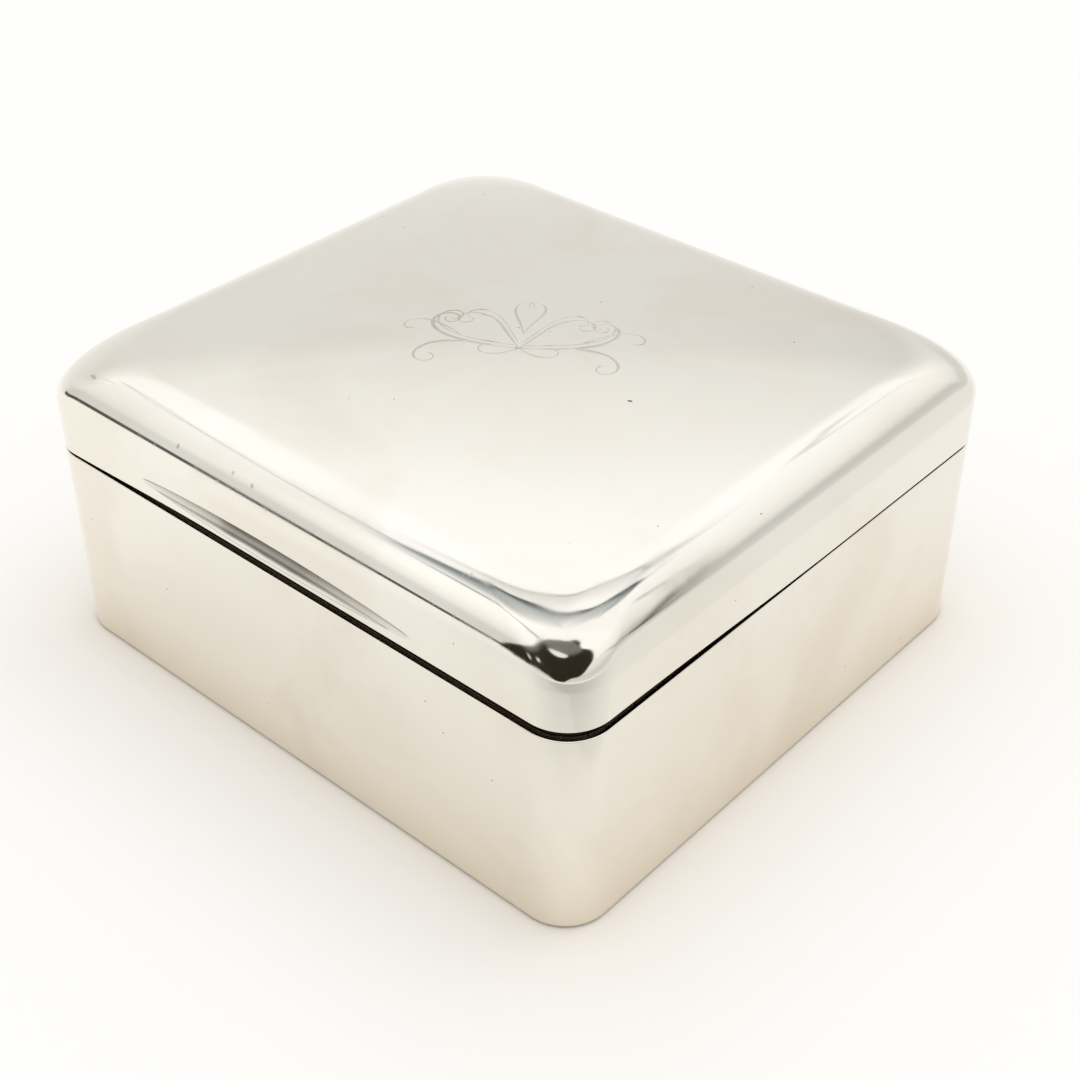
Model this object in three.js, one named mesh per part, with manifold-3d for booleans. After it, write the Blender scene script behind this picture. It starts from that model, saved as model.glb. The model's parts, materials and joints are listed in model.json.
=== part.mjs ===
// A square silver cigarette box with a hinged, domed lid and a cedar lining.
// Millimetres, +Z up, front towards -Y, hinge at +Y, origin at the middle of the underside.
import * as THREE from 'three';
import { mergeVertices } from 'three/addons/utils/BufferGeometryUtils.js';
import Module from 'manifold-3d';

const wasm = await Module();
wasm.setup();

// Whole box
const width = 90; // along the front
const depth = 82.5; // front to back
const cornerRadius = 6; // upright corners, seen from above

// Body shell
const bodyHeight = 28.6; // underside to rim
const bodyWall = 0.9;
const baseThickness = 0.9;
const baseEdge = 0.5; // rounding under the lower edge

// Lid shell
const lidWall = 0.8;
const bandHeight = 6.7; // body rim to the start of the rolled edge
const rollRadius = 6.8; // rolled edge between band and top
const domeRise = 0.75; // crown of the top above the rolled edge
const cornerGrowth = 2; // how much rounder the corners get per millimetre towards the middle of the top

// Seam between body and lid, a little sprung towards the front right corner
const rimGap = 0.35;
const springLift = 0.65; // extra gap where the rim is sprung most
const liftStart = 11; // from the left side to where the front rim begins to lift
const liftRun = 38; // length along the front over which it lifts
const liftFull = 3; // from the front to where the sides are lifted fully
const liftFade = 25; // length along the sides over which the lift dies away

// Thumb scoop in the front of the lid band
const scoopLength = 44;
const scoopHeight = 2.4;
const scoopDepth = 0.6;
const scoopRise = 3.2; // middle of the scoop above the body rim
const scoopShift = -1; // middle of the scoop along the front

// Hinge
const barrelRadius = 1.25;
const barrelChamfer = 0.12;
const pinRadius = 0.55;
const pinClearance = 0.07;
const knuckleCount = 7; // odd, so that the body has both end knuckles
const knuckleGap = 0.2;
const plugLength = 1;
const plugGap = 0.1;
const barrelClearance = 0.15; // between a knuckle and the seat cut for it
const bearerLip = 0.2; // metal left in front of the seat
const bearerHeight = 3.6; // from the hinge axis
const bearerGap = 0.2; // from the hinge axis to the facing side of a bearer
const openAngle = 100; // degrees
const stopMargin = 2; // degrees between the open position and the stop faces meeting

// Cedar lining
const liningThickness = 3;
const floorThickness = 2.4;
const liningFit = 0.3; // between the boards and the silver
const boardGap = 0.1; // between neighbouring boards
const lipHeight = 2; // boards above the body rim
const lipBevel = 0.6; // how far the lip's outer edge slopes in
const lipBevelHeight = 1.2;
const bearerFit = 0.25; // between the back board and the hinge bearer
const dividerThickness = 2.4;
const dividerDrop = 4.4; // divider's top below the body rim
const grooveDepth = 0.8;
const grooveFit = 0.1;

// Fineness of the faceted solids
const cornerSteps = 6;
const sideSteps = 8;
const rollSteps = 6;
const domeSteps = 4;
const roundSteps = 24;
const scoopSteps = 20;
const edgeSteps = 3;
const mergeTolerance = 1e-5;

// Places worked out from the sizes above
const hingeY = depth / 2 - barrelRadius;
const hingeRise = rimGap / 2; // hinge axis above the body rim
const hingeLength = width - 2 * cornerRadius;
const seatRadius = barrelRadius + barrelClearance;
const bearerFront = hingeY - seatRadius - bearerLip;
const boreRadius = pinRadius + pinClearance;
const edgeSlope = Math.atan((2 * domeRise) / (depth / 2 - rollRadius));
const liningInset = bodyWall + liningFit;
const boardInset = liningInset + liningThickness;
const boardBottom = baseThickness + floorThickness;
const boardTop = bodyHeight + lipHeight;
const dividerTop = bodyHeight - dividerDrop;
const overcut = 2; // how far a cutting solid reaches past what it cuts

const silver = new THREE.MeshStandardMaterial({ color: 0xdbd7ce, roughness: 0.12, metalness: 1 });
const wire = new THREE.MeshStandardMaterial({ color: 0xb4b0a6, roughness: 0.3, metalness: 1 });
const cedar = new THREE.MeshStandardMaterial({ color: 0xa5663c, roughness: 0.7, metalness: 0 });

// Ring of points round a rectangle with round corners, anticlockwise from above.
// Rings have one point count, so they join into walls. The height is a number or a rule of x and y.
function outlineRing(halfX, halfY, radius, height) {
  const path = new THREE.Path();
  const quarter = Math.PI / 2;
  path.absarc(halfX - radius, radius - halfY, radius, -quarter, 0);
  path.absarc(halfX - radius, halfY - radius, radius, 0, quarter);
  path.absarc(radius - halfX, halfY - radius, radius, quarter, 2 * quarter);
  path.absarc(radius - halfX, radius - halfY, radius, 2 * quarter, 3 * quarter);
  path.closePath();
  const points = path.curves.flatMap((curve) => {
    const steps = curve.isLineCurve ? sideSteps : cornerSteps;
    return curve.getPoints(steps).slice(0, steps);
  });
  return points.map(({ x, y }) => {
    const z = typeof height === 'function' ? height(x, y) : height;
    return new THREE.Vector3(x, y, z);
  });
}

// The box's own outline, moved in by an inset, with parallel corners.
function boxRing(inset, height) {
  return outlineRing(width / 2 - inset, depth / 2 - inset, cornerRadius - inset, height);
}

function trianglesToGeometry(corners) {
  const geometry = new THREE.BufferGeometry().setFromPoints(corners);
  geometry.computeVertexNormals();
  return geometry;
}

function wallBetween(lower, upper) {
  return lower.flatMap((a, index) => {
    const next = (index + 1) % lower.length;
    return [a, lower[next], upper[next], a, upper[next], upper[index]];
  });
}

function fan(ring, middle) {
  return ring.flatMap((point, index) => [middle, point, ring[(index + 1) % ring.length]]);
}

function middleOf(ring) {
  return new THREE.Box3().setFromPoints(ring).getCenter(new THREE.Vector3());
}

// Wall that runs through the rings and back to the first one.
function hoopGeometry(rings) {
  return trianglesToGeometry(
    rings.flatMap((ring, index) => wallBetween(ring, rings[(index + 1) % rings.length])),
  );
}

// Solid through the rings, closed at each end by a fan to a middle point.
function loftGeometry(rings, firstMiddle, lastMiddle) {
  const walls = rings.slice(1).flatMap((ring, index) => wallBetween(rings[index], ring));
  const first = fan([...rings[0]].reverse(), firstMiddle);
  const last = fan(rings[rings.length - 1], lastMiddle);
  return trianglesToGeometry([...first, ...walls, ...last]);
}

function boxBetween(from, to) {
  const box = new THREE.Box3(new THREE.Vector3(...from), new THREE.Vector3(...to));
  const size = box.getSize(new THREE.Vector3());
  const middle = box.getCenter(new THREE.Vector3());
  return new THREE.BoxGeometry(size.x, size.y, size.z).translate(middle.x, middle.y, middle.z);
}

// Section drawn in Y and Z, drawn out along X and centred on x = 0.
function alongX(section, length) {
  const geometry = new THREE.ExtrudeGeometry(section, { depth: length, bevelEnabled: false });
  const turn = new THREE.Matrix4().makeBasis(
    new THREE.Vector3(0, 1, 0),
    new THREE.Vector3(0, 0, 1),
    new THREE.Vector3(1, 0, 0),
  );
  return geometry.translate(0, 0, -length / 2).applyMatrix4(turn);
}

// Profile of radius and length turned round the X axis.
function turnedAlongX(profile) {
  const points = profile.map(([radius, along]) => new THREE.Vector2(radius, along));
  return new THREE.LatheGeometry(points, roundSteps).rotateZ(-Math.PI / 2);
}

function toSolid(geometry) {
  const bare = geometry.clone();
  bare.deleteAttribute('normal');
  bare.deleteAttribute('uv');
  const merged = mergeVertices(bare, mergeTolerance);
  const mesh = new wasm.Mesh({
    numProp: 3,
    vertProperties: Float32Array.from(merged.attributes.position.array),
    triVerts: Uint32Array.from(merged.index.array),
  });
  return new wasm.Manifold(mesh);
}

function toGeometry(solid) {
  const mesh = solid.getMesh();
  const geometry = new THREE.BufferGeometry();
  geometry.setAttribute('position', new THREE.BufferAttribute(mesh.vertProperties, 3));
  geometry.setIndex(new THREE.BufferAttribute(mesh.triVerts, 1));
  geometry.computeVertexNormals();
  return geometry;
}

function smoothRamp(value, from, to) {
  return THREE.MathUtils.smoothstep((value - from) / (to - from), 0, 1);
}

// Rim of the lid above the rim of the body.
function lidRim(x, y) {
  const fromLeft = x + width / 2;
  const fromFront = y + depth / 2;
  const along = smoothRamp(fromLeft, liftStart, liftStart + liftRun);
  const back = 1 - smoothRamp(fromFront, liftFull, liftFull + liftFade);
  return rimGap + springLift * along * back;
}

// Round seat for the barrel, and the V behind the axis whose faces stop the open lid.
function hingeCut(axisZ) {
  const reach = 2 * barrelRadius;
  const spread = reach * Math.tan(THREE.MathUtils.degToRad((openAngle + stopMargin) / 2));
  const wedge = new THREE.Shape([
    new THREE.Vector2(hingeY, axisZ),
    new THREE.Vector2(hingeY + reach, axisZ - spread),
    new THREE.Vector2(hingeY + reach, axisZ + spread),
  ]);
  const halfSeat = hingeLength / 2 + knuckleGap;
  const seat = turnedAlongX([
    [0, -halfSeat],
    [seatRadius, -halfSeat],
    [seatRadius, halfSeat],
    [0, halfSeat],
  ]).translate(0, hingeY, axisZ);
  return toSolid(alongX(wedge, width + 2 * overcut)).add(toSolid(seat));
}

function basePlate() {
  const rings = [];
  for (let step = 0; step <= edgeSteps; step += 1) {
    const angle = (step / edgeSteps) * (Math.PI / 2);
    rings.push(boxRing(baseEdge * (1 - Math.sin(angle)), baseEdge * (1 - Math.cos(angle))));
  }
  rings.push(boxRing(0, baseThickness));
  return loftGeometry(rings, middleOf(rings[0]), middleOf(rings[rings.length - 1]));
}

function bodyWalls() {
  const hoop = hoopGeometry([
    boxRing(0, baseThickness),
    boxRing(0, bodyHeight),
    boxRing(bodyWall, bodyHeight),
    boxRing(bodyWall, baseThickness),
  ]);
  return toGeometry(toSolid(hoop).subtract(hingeCut(bodyHeight + hingeRise)));
}

// Strip behind a wall's inner face, on one side of the hinge axis: -1 below it, 1 above.
function hingeBearer(wall, axisZ, side) {
  const strip = boxBetween(
    [-hingeLength / 2, bearerFront, axisZ + side * (side > 0 ? bearerGap : bearerHeight)],
    [hingeLength / 2, depth / 2 - wall, axisZ + side * (side > 0 ? bearerHeight : bearerGap)],
  );
  return toGeometry(toSolid(strip).subtract(hingeCut(axisZ)));
}

function knuckle(length) {
  const half = length / 2;
  return turnedAlongX([
    [boreRadius, -half],
    [barrelRadius - barrelChamfer, -half],
    [barrelRadius, barrelChamfer - half],
    [barrelRadius, half - barrelChamfer],
    [barrelRadius - barrelChamfer, half],
    [boreRadius, half],
    [boreRadius, -half],
  ]);
}

function wireLength(length) {
  return turnedAlongX([
    [0, -length / 2],
    [pinRadius, -length / 2],
    [pinRadius, length / 2],
    [0, length / 2],
  ]);
}

// Rings of the lid's skin from the top of the band to the crown, at a depth under the outer face.
function lidSkin(under) {
  const rings = [];
  for (let step = 0; step <= rollSteps; step += 1) {
    const angle = (step / rollSteps) * (Math.PI / 2 - edgeSlope);
    const rolledIn = rollRadius * (1 - Math.cos(angle));
    const inset = rolledIn + under * Math.cos(angle);
    const radius = cornerRadius + cornerGrowth * rolledIn - under * Math.cos(angle);
    const height = bandHeight + (rollRadius - under) * Math.sin(angle);
    rings.push(outlineRing(width / 2 - inset, depth / 2 - inset, radius, height));
  }
  const edge = rings[rings.length - 1];
  for (let step = 1; step < domeSteps; step += 1) {
    const share = 1 - step / domeSteps;
    const rise = domeRise * (1 - share * share);
    rings.push(edge.map(({ x, y, z }) => new THREE.Vector3(x * share, y * share, z + rise)));
  }
  return { rings, crown: new THREE.Vector3(0, 0, edge[0].z + domeRise) };
}

function lidTop() {
  const outer = lidSkin(0);
  const inner = lidSkin(lidWall);
  return loftGeometry([...inner.rings].reverse().concat(outer.rings), inner.crown, outer.crown);
}

// Slim spindle in front of the lid band. It cuts the scoop's lens, and grown by the wall it backs it.
function scoopSpindle(growth) {
  const crownRadius = (scoopHeight ** 2 / 4 + scoopDepth ** 2) / (2 * scoopDepth);
  const offset = crownRadius - scoopDepth;
  const profile = [];
  for (let step = 0; step <= scoopSteps; step += 1) {
    const along = (2 * step) / scoopSteps - 1;
    const swell = (1 - along * along) ** 2;
    profile.push([offset + scoopDepth * swell + growth, (along * scoopLength) / 2]);
  }
  const ends = [
    [0, -scoopLength / 2],
    [0, scoopLength / 2],
  ];
  const spindle = turnedAlongX([ends[0], ...profile, ends[1]]);
  return toSolid(spindle.translate(scoopShift, -depth / 2 - offset, scoopRise));
}

function lidBand() {
  const hoop = hoopGeometry([
    boxRing(0, lidRim),
    boxRing(0, bandHeight),
    boxRing(lidWall, bandHeight),
    boxRing(lidWall, lidRim),
  ]);
  const inside = boxBetween(
    [-width / 2, lidWall / 2 - depth / 2, 0],
    [width / 2, 0, bandHeight],
  );
  const backing = scoopSpindle(lidWall).intersect(toSolid(inside));
  const scooped = toSolid(hoop).add(backing).subtract(scoopSpindle(0));
  return toGeometry(scooped.subtract(hingeCut(hingeRise)));
}

function liningFloor() {
  const rings = [boxRing(liningInset, baseThickness), boxRing(liningInset, boardBottom)];
  return loftGeometry(rings, middleOf(rings[0]), middleOf(rings[1]));
}

// All four upright boards as one frame, with the outer edge of the lip sloping in.
function liningFrame() {
  const rings = [
    boxRing(liningInset, boardBottom),
    boxRing(liningInset, boardTop - lipBevelHeight),
    boxRing(liningInset + lipBevel, boardTop),
  ];
  const outer = loftGeometry(rings, middleOf(rings[0]), middleOf(rings[rings.length - 1]));
  const inner = boxBetween(
    [boardInset - width / 2, boardInset - depth / 2, boardBottom - overcut],
    [width / 2 - boardInset, depth / 2 - boardInset, boardTop + overcut],
  );
  return toSolid(outer).subtract(toSolid(inner));
}

function dividerGroove() {
  const halfGroove = dividerThickness / 2 + grooveFit;
  const reach = depth / 2 - boardInset + grooveDepth;
  return toSolid(
    boxBetween([-halfGroove, -reach, boardBottom - overcut], [halfGroove, reach, dividerTop + grooveFit]),
  );
}

// Front board at side -1, back board at side 1. The back board is rebated round the hinge bearer.
function endBoard(side) {
  const innerY = side * (depth / 2 - boardInset);
  const outerY = (side * depth) / 2;
  const zone = boxBetween(
    [-width / 2, Math.min(innerY, outerY), boardBottom],
    [width / 2, Math.max(innerY, outerY), boardTop],
  );
  const board = liningFrame().intersect(toSolid(zone)).subtract(dividerGroove());
  const rebate = boxBetween(
    [-width / 2, bearerFront - bearerFit, bodyHeight + hingeRise - bearerHeight - bearerFit],
    [width / 2, depth / 2, boardTop + overcut],
  );
  return toGeometry(side > 0 ? board.subtract(toSolid(rebate)) : board);
}

// Left board at side -1, right board at side 1, between the front and back boards.
function sideBoard(side) {
  const innerX = side * (width / 2 - boardInset);
  const outerX = (side * width) / 2;
  const reach = depth / 2 - boardInset - boardGap;
  const zone = boxBetween(
    [Math.min(innerX, outerX), -reach, boardBottom],
    [Math.max(innerX, outerX), reach, boardTop],
  );
  return toGeometry(liningFrame().intersect(toSolid(zone)));
}

function divider() {
  const reach = depth / 2 - boardInset + grooveDepth - grooveFit;
  const half = dividerThickness / 2;
  return boxBetween([-half, -reach, boardBottom], [half, reach, dividerTop]);
}

function piece(parent, name, geometry, material) {
  const mesh = new THREE.Mesh(geometry, material);
  mesh.name = name;
  parent.add(mesh);
  return mesh;
}

const box = new THREE.Group();
const lid = new THREE.Group();
const bodyHinge = new THREE.Group();
const lidHinge = new THREE.Group();
lid.position.z = bodyHeight;
bodyHinge.position.set(0, hingeY, bodyHeight + hingeRise);
lidHinge.position.set(0, hingeY, hingeRise);
lid.add(lidHinge);
box.add(lid, bodyHinge);

piece(box, 'base_plate', basePlate(), silver);
piece(box, 'body_walls', bodyWalls(), silver);
piece(box, 'body_hinge_bearer', hingeBearer(bodyWall, bodyHeight + hingeRise, -1), silver);
piece(box, 'lining_floor', liningFloor(), cedar);
piece(box, 'lining_front', endBoard(-1), cedar);
piece(box, 'lining_back', endBoard(1), cedar);
piece(box, 'lining_left', sideBoard(-1), cedar);
piece(box, 'lining_right', sideBoard(1), cedar);
piece(box, 'lining_divider', divider(), cedar);

piece(lid, 'lid_top', lidTop(), silver);
piece(lid, 'lid_band', lidBand(), silver);
piece(lid, 'lid_hinge_bearer', hingeBearer(lidWall, hingeRise, 1), silver);

// Knuckles in turn from left to right, the first and last on the body.
const knuckleLength = (hingeLength - (knuckleCount - 1) * knuckleGap) / knuckleCount;
for (let index = 0; index < knuckleCount; index += 1) {
  const onLid = index % 2 === 1;
  const number = Math.floor(index / 2) + 1;
  const name = onLid ? `lid_knuckle_${number}` : `body_knuckle_${number}`;
  const tube = piece(onLid ? lidHinge : bodyHinge, name, knuckle(knuckleLength), silver);
  tube.position.x = index * (knuckleLength + knuckleGap) + (knuckleLength - hingeLength) / 2;
}

piece(bodyHinge, 'hinge_pin', wireLength(hingeLength - 2 * (plugLength + plugGap)), wire);
const plugX = (hingeLength - plugLength) / 2;
piece(bodyHinge, 'hinge_plug_left', wireLength(plugLength), silver).position.x = -plugX;
piece(bodyHinge, 'hinge_plug_right', wireLength(plugLength), silver).position.x = plugX;

export default box;
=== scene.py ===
import json
import math
import bmesh
import bpy
from mathutils import Euler, Matrix, Vector
from mathutils.bvhtree import BVHTree


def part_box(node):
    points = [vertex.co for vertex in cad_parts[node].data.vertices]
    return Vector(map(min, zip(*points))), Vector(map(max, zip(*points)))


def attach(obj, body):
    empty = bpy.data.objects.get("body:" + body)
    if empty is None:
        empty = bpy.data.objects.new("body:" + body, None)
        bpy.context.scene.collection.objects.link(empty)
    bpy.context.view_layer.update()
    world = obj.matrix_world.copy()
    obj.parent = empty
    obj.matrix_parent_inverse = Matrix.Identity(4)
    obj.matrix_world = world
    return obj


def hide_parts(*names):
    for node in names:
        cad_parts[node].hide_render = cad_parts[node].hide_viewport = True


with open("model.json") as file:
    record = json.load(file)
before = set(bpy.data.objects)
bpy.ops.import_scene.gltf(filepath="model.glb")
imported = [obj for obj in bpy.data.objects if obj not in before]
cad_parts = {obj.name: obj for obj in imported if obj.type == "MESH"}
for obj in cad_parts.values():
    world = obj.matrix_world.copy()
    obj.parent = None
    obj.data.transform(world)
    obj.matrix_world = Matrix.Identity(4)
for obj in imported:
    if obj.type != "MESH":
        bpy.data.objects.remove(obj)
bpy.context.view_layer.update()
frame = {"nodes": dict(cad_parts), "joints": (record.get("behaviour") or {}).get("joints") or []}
cadNodes = frame["nodes"]
mm = 0.001
print("frame loaded:", len(cadNodes), "nodes")

# Places that the solids give
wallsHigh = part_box("body_walls")[1]
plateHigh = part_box("base_plate")[1]
topLow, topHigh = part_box("lid_top")
hingeAxis = Vector(frame["joints"][0]["pos_m"])
halfWidth = wallsHigh.x
halfDepth = wallsHigh.y
bodyRim = wallsHigh.z
bandTop = topLow.z


# Small helpers for meshes

def smoothRamp(value, low, high):
    share = min(max((value - low) / (high - low), 0.0), 1.0)
    return share * share * (3.0 - 2.0 * share)


def blendOf(first, last, share):
    return first + (last - first) * share


def evenShares(count, first=0.0, last=1.0):
    return [blendOf(first, last, step / count) for step in range(count + 1)]


def nextRing(bm, ring):
    edges = [bm.edges.get((vert, ring[index - 1])) for index, vert in enumerate(ring)]
    made = bmesh.ops.extrude_edge_only(bm, edges=edges)["geom"]
    fresh = {part for part in made if isinstance(part, bmesh.types.BMVert)}
    outer = []
    for vert in ring:
        outer.append(next(edge.other_vert(vert) for edge in vert.link_edges
                          if edge.other_vert(vert) in fresh))
    return outer


def placeRing(ring, points):
    for vert, point in zip(ring, points):
        vert.co = point


def middleOf(points):
    return sum(points, Vector()) / len(points)


# A skin drawn ring by ring from one closed end to the other.
# innerFrom is the ring where the inner side begins.
def ringSkin(rings, innerFrom=None, bm=None):
    bm = bm or bmesh.new()
    ring = bmesh.ops.create_circle(bm, segments=len(rings[0]), radius=halfWidth)["verts"]
    placeRing(ring, rings[0])
    firstRing = ring
    outerFaces = None
    for index, points in enumerate(rings[1:], start=1):
        if index == innerFrom:
            outerFaces = len(bm.faces)
        ring = nextRing(bm, ring)
        placeRing(ring, points)
    if outerFaces is not None:
        bm.faces.ensure_lookup_table()
        for face in bm.faces[outerFaces:]:
            face.material_index = 1
    bmesh.ops.pointmerge(bm, verts=firstRing, merge_co=middleOf(rings[0]))
    bmesh.ops.pointmerge(bm, verts=ring, merge_co=middleOf(rings[-1]))
    bmesh.ops.recalc_face_normals(bm, faces=bm.faces)
    return bm


def shadeSmooth(bm, sharpAngle=40.0):
    limit = math.radians(sharpAngle)
    for face in bm.faces:
        face.smooth = True
    for edge in bm.edges:
        edge.smooth = edge.is_manifold and edge.calc_face_angle(0.0) < limit


def newObject(name, bm, materials):
    mesh = bpy.data.meshes.new(name)
    bm.to_mesh(mesh)
    bm.free()
    for material in materials:
        mesh.materials.append(material)
    made = bpy.data.objects.new(name, mesh)
    bpy.context.scene.collection.objects.link(made)
    return made


def addPiece(name, bm, body, materials, replaced=()):
    shadeSmooth(bm)
    piece = newObject(name, bm, materials)
    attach(piece, body)
    if replaced:
        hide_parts(*replaced)


# The box's outline: round corners and straight sides, as spots that every ring shares

boxOutline = {
    "corner": 6.0 * mm,
    "cornerSteps": 20,
    "lidSteps": (40, 40, 40, 120),  # right, back, left, front
    "bodySteps": (16, 16, 16, 16),
}
cornerSigns = ((1, -1), (1, 1), (-1, 1), (-1, -1))  # front right, back right, back left, front left


def outlineSpots(sideSteps):
    spots = []
    for corner, steps in enumerate(sideSteps):
        turns = boxOutline["cornerSteps"]
        spots += [(corner, step / turns, 0.0) for step in range(turns)]
        spots += [(corner, 1.0, step / steps) for step in range(steps)]
    return spots


def arcPoint(corner, turn, halfX, halfY, radius):
    signX, signY = cornerSigns[corner]
    angle = (corner - 1 + turn) * math.pi / 2
    return Vector((signX * (halfX - radius) + radius * math.cos(angle),
                   signY * (halfY - radius) + radius * math.sin(angle), 0.0))


def outlinePoint(spot, inset, radius):
    corner, turn, along = spot
    halfX = halfWidth - inset
    halfY = halfDepth - inset
    start = arcPoint(corner, turn, halfX, halfY, radius)
    if along == 0.0:
        return start
    return start.lerp(arcPoint((corner + 1) % 4, 0.0, halfX, halfY, radius), along)


def parallelPoint(spot, inset):
    return outlinePoint(spot, inset, boxOutline["corner"] - inset)


# The outline at one inset, with each point raised to its own height
def raisedRing(spots, inset, heightOf):
    points = [parallelPoint(spot, inset) for spot in spots]
    for point in points:
        point.z = heightOf(point)
    return points


# Rims of lid and body, and the cut round the hinge

seam = {
    "gap": 0.35 * mm,
    "springLift": 0.88 * mm,  # extra gap where the lid is sprung
    "liftStart": 0.0 * mm,
    "liftRun": 33.0 * mm,
    "liftFull": 4.0 * mm,
    "liftFade": 46.0 * mm,
    "seatRadius": 1.4 * mm,
    "seatHalf": 39.2 * mm,
    "stopAngle": 51.0,  # degrees, of each bevelled stop face
    "fillet": 0.12 * mm,
    "hold": 0.06 * mm,  # row that keeps the wall flat beside the fillet
    "filletRows": 4,
    "flatRows": 6,
}


def hingeRelief(point):
    behind = point.y - hingeAxis.y
    relief = max(behind, 0.0) * math.tan(math.radians(seam["stopAngle"]))
    if abs(point.x) < seam["seatHalf"] and abs(behind) < seam["seatRadius"]:
        relief = max(relief, math.sqrt(seam["seatRadius"] ** 2 - behind ** 2))
    return relief


def lidRim(point):
    along = smoothRamp(point.x + halfWidth, seam["liftStart"], seam["liftStart"] + seam["liftRun"])
    fade = smoothRamp(point.y + halfDepth, seam["liftFull"], seam["liftFull"] + seam["liftFade"])
    rim = bodyRim + seam["gap"] + seam["springLift"] * along * (1.0 - fade)
    relief = hingeRelief(point)
    return max(rim, hingeAxis.z + relief) if relief else rim


def lowerRim(point):
    relief = hingeRelief(point)
    return min(bodyRim, hingeAxis.z - relief) if relief else bodyRim


# Rows across a wall's edge, outer side to inner side, as (inset, height from the rim)
def rimRows(wall, side):
    fillet = seam["fillet"]
    hold = side * (fillet + seam["hold"])
    outer = []
    for angle in evenShares(seam["filletRows"], 0.0, math.pi / 2):
        outer.append((fillet * (1.0 - math.cos(angle)), side * fillet * (1.0 - math.sin(angle))))
    flat = [(blendOf(fillet, wall - fillet, share), 0.0) for share in evenShares(seam["flatRows"])[1:-1]]
    inner = [(wall - inset, lift) for inset, lift in reversed(outer)]
    return [(0.0, hold), *outer, *flat, *inner, (wall, hold)]


# Lid: band with the thumb scoop, rolled edge and domed top

lidShape = {
    "wall": 0.8 * mm,
    "roll": 6.8 * mm,
    "cornerGrowth": 1.35,
    "crownRelief": 0.035 * mm,  # keeps cut ornament under the crown
    "rollRows": 28,
    "domeRows": 36,
    "innerRollRows": 12,
    "innerDomeRows": 12,
    "poleShare": 0.015,  # where the first ring of the dome lies
    "innerPoleShare": 0.02,
    "overScoop": (0.08, 0.4, 0.7),  # rows of the band over the scoop, and under it
    "underScoop": (0.35, 0.7),
    "pressedWithin": 0.08 * mm,  # only the flat front face is pressed in
}
thumbScoop = {
    "length": 46.4 * mm,
    "height": 2.7 * mm,
    "depth": 0.65 * mm,
    "taper": 1.25,
    "rise": 3.1 * mm,  # of its middle above the body rim
    "shift": -1.5 * mm,
    "ease": 0.022 * mm,  # softness of the pressed edge
    "leastHalf": 0.15 * mm,  # rows bunch no tighter than this
    "rows": (0.0, 0.2, 0.4, 0.58, 0.74, 0.86, 0.94, 1.0, 1.06, 1.15, 1.3),
}
scoopMiddle = bodyRim + thumbScoop["rise"]
scoopCrown = (thumbScoop["height"] ** 2 / 4 + thumbScoop["depth"] ** 2) / (2 * thumbScoop["depth"])
scoopOffset = scoopCrown - thumbScoop["depth"]
domeRise = topHigh.z - bandTop - lidShape["roll"] - lidShape["crownRelief"]


def scoopSwell(x):
    along = (x - thumbScoop["shift"]) / (thumbScoop["length"] / 2)
    return max(1.0 - along * along, 0.0) ** thumbScoop["taper"]


def scoopHalf(point):
    if point.y > 0:
        return thumbScoop["leastHalf"]
    dip = thumbScoop["depth"] * scoopSwell(point.x)
    return max(math.sqrt(2 * scoopOffset * dip + dip * dip), thumbScoop["leastHalf"])


def scoopDip(x, z):
    swell = scoopSwell(x)
    radius = scoopOffset + thumbScoop["depth"] * swell
    reach = math.sqrt(max(radius ** 2 - (z - scoopMiddle) ** 2, 0.0)) - scoopOffset
    ease = thumbScoop["ease"] * swell
    return (reach + math.sqrt(reach * reach + ease * ease)) / 2


# Heights of the band's rows at one spot, from the top of the band down to the rim
def bandHeights(point):
    half = scoopHalf(point)
    rows = thumbScoop["rows"]
    upper = scoopMiddle + rows[-1] * half
    lower = scoopMiddle - rows[-1] * half
    start = lidRim(point) + seam["fillet"] + seam["hold"]
    heights = [blendOf(bandTop, upper, share) for share in lidShape["overScoop"]]
    heights += [scoopMiddle + share * half for share in reversed(rows)]
    heights += [scoopMiddle - share * half for share in rows[1:]]
    heights += [blendOf(lower, start, share) for share in lidShape["underScoop"]]
    return heights


def bandPoint(spot, under, row):
    point = parallelPoint(spot, under)
    point.z = bandHeights(point)[row]
    if point.y < 0 and abs(point.y + halfDepth - under) < lidShape["pressedWithin"]:
        point.y += scoopDip(point.x, point.z)
    return point


def rollPoint(spot, under, angle):
    rolledIn = lidShape["roll"] * (1.0 - math.cos(angle))
    inset = rolledIn + under * math.cos(angle)
    radius = boxOutline["corner"] + lidShape["cornerGrowth"] * rolledIn - under * math.cos(angle)
    point = outlinePoint(spot, inset, radius)
    point.z = bandTop + (lidShape["roll"] - under) * math.sin(angle)
    return point


edgeSlope = math.atan(2 * (topHigh.z - bandTop - lidShape["roll"]) / (halfDepth - lidShape["roll"]))
rollEnd = math.pi / 2 - edgeSlope
rightMiddle = (0, 1.0, 0.5)  # spots halfway along the right side and the front
frontMiddle = (3, 1.0, 0.5)


# Distance from the middle of the top to the tangent of its edge at one spot
def edgeReach(spot, edge):
    corner, turn = spot[:2]
    angle = (corner - 1 + turn) * math.pi / 2
    return abs(edge.x * math.cos(angle) + edge.y * math.sin(angle))


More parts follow.
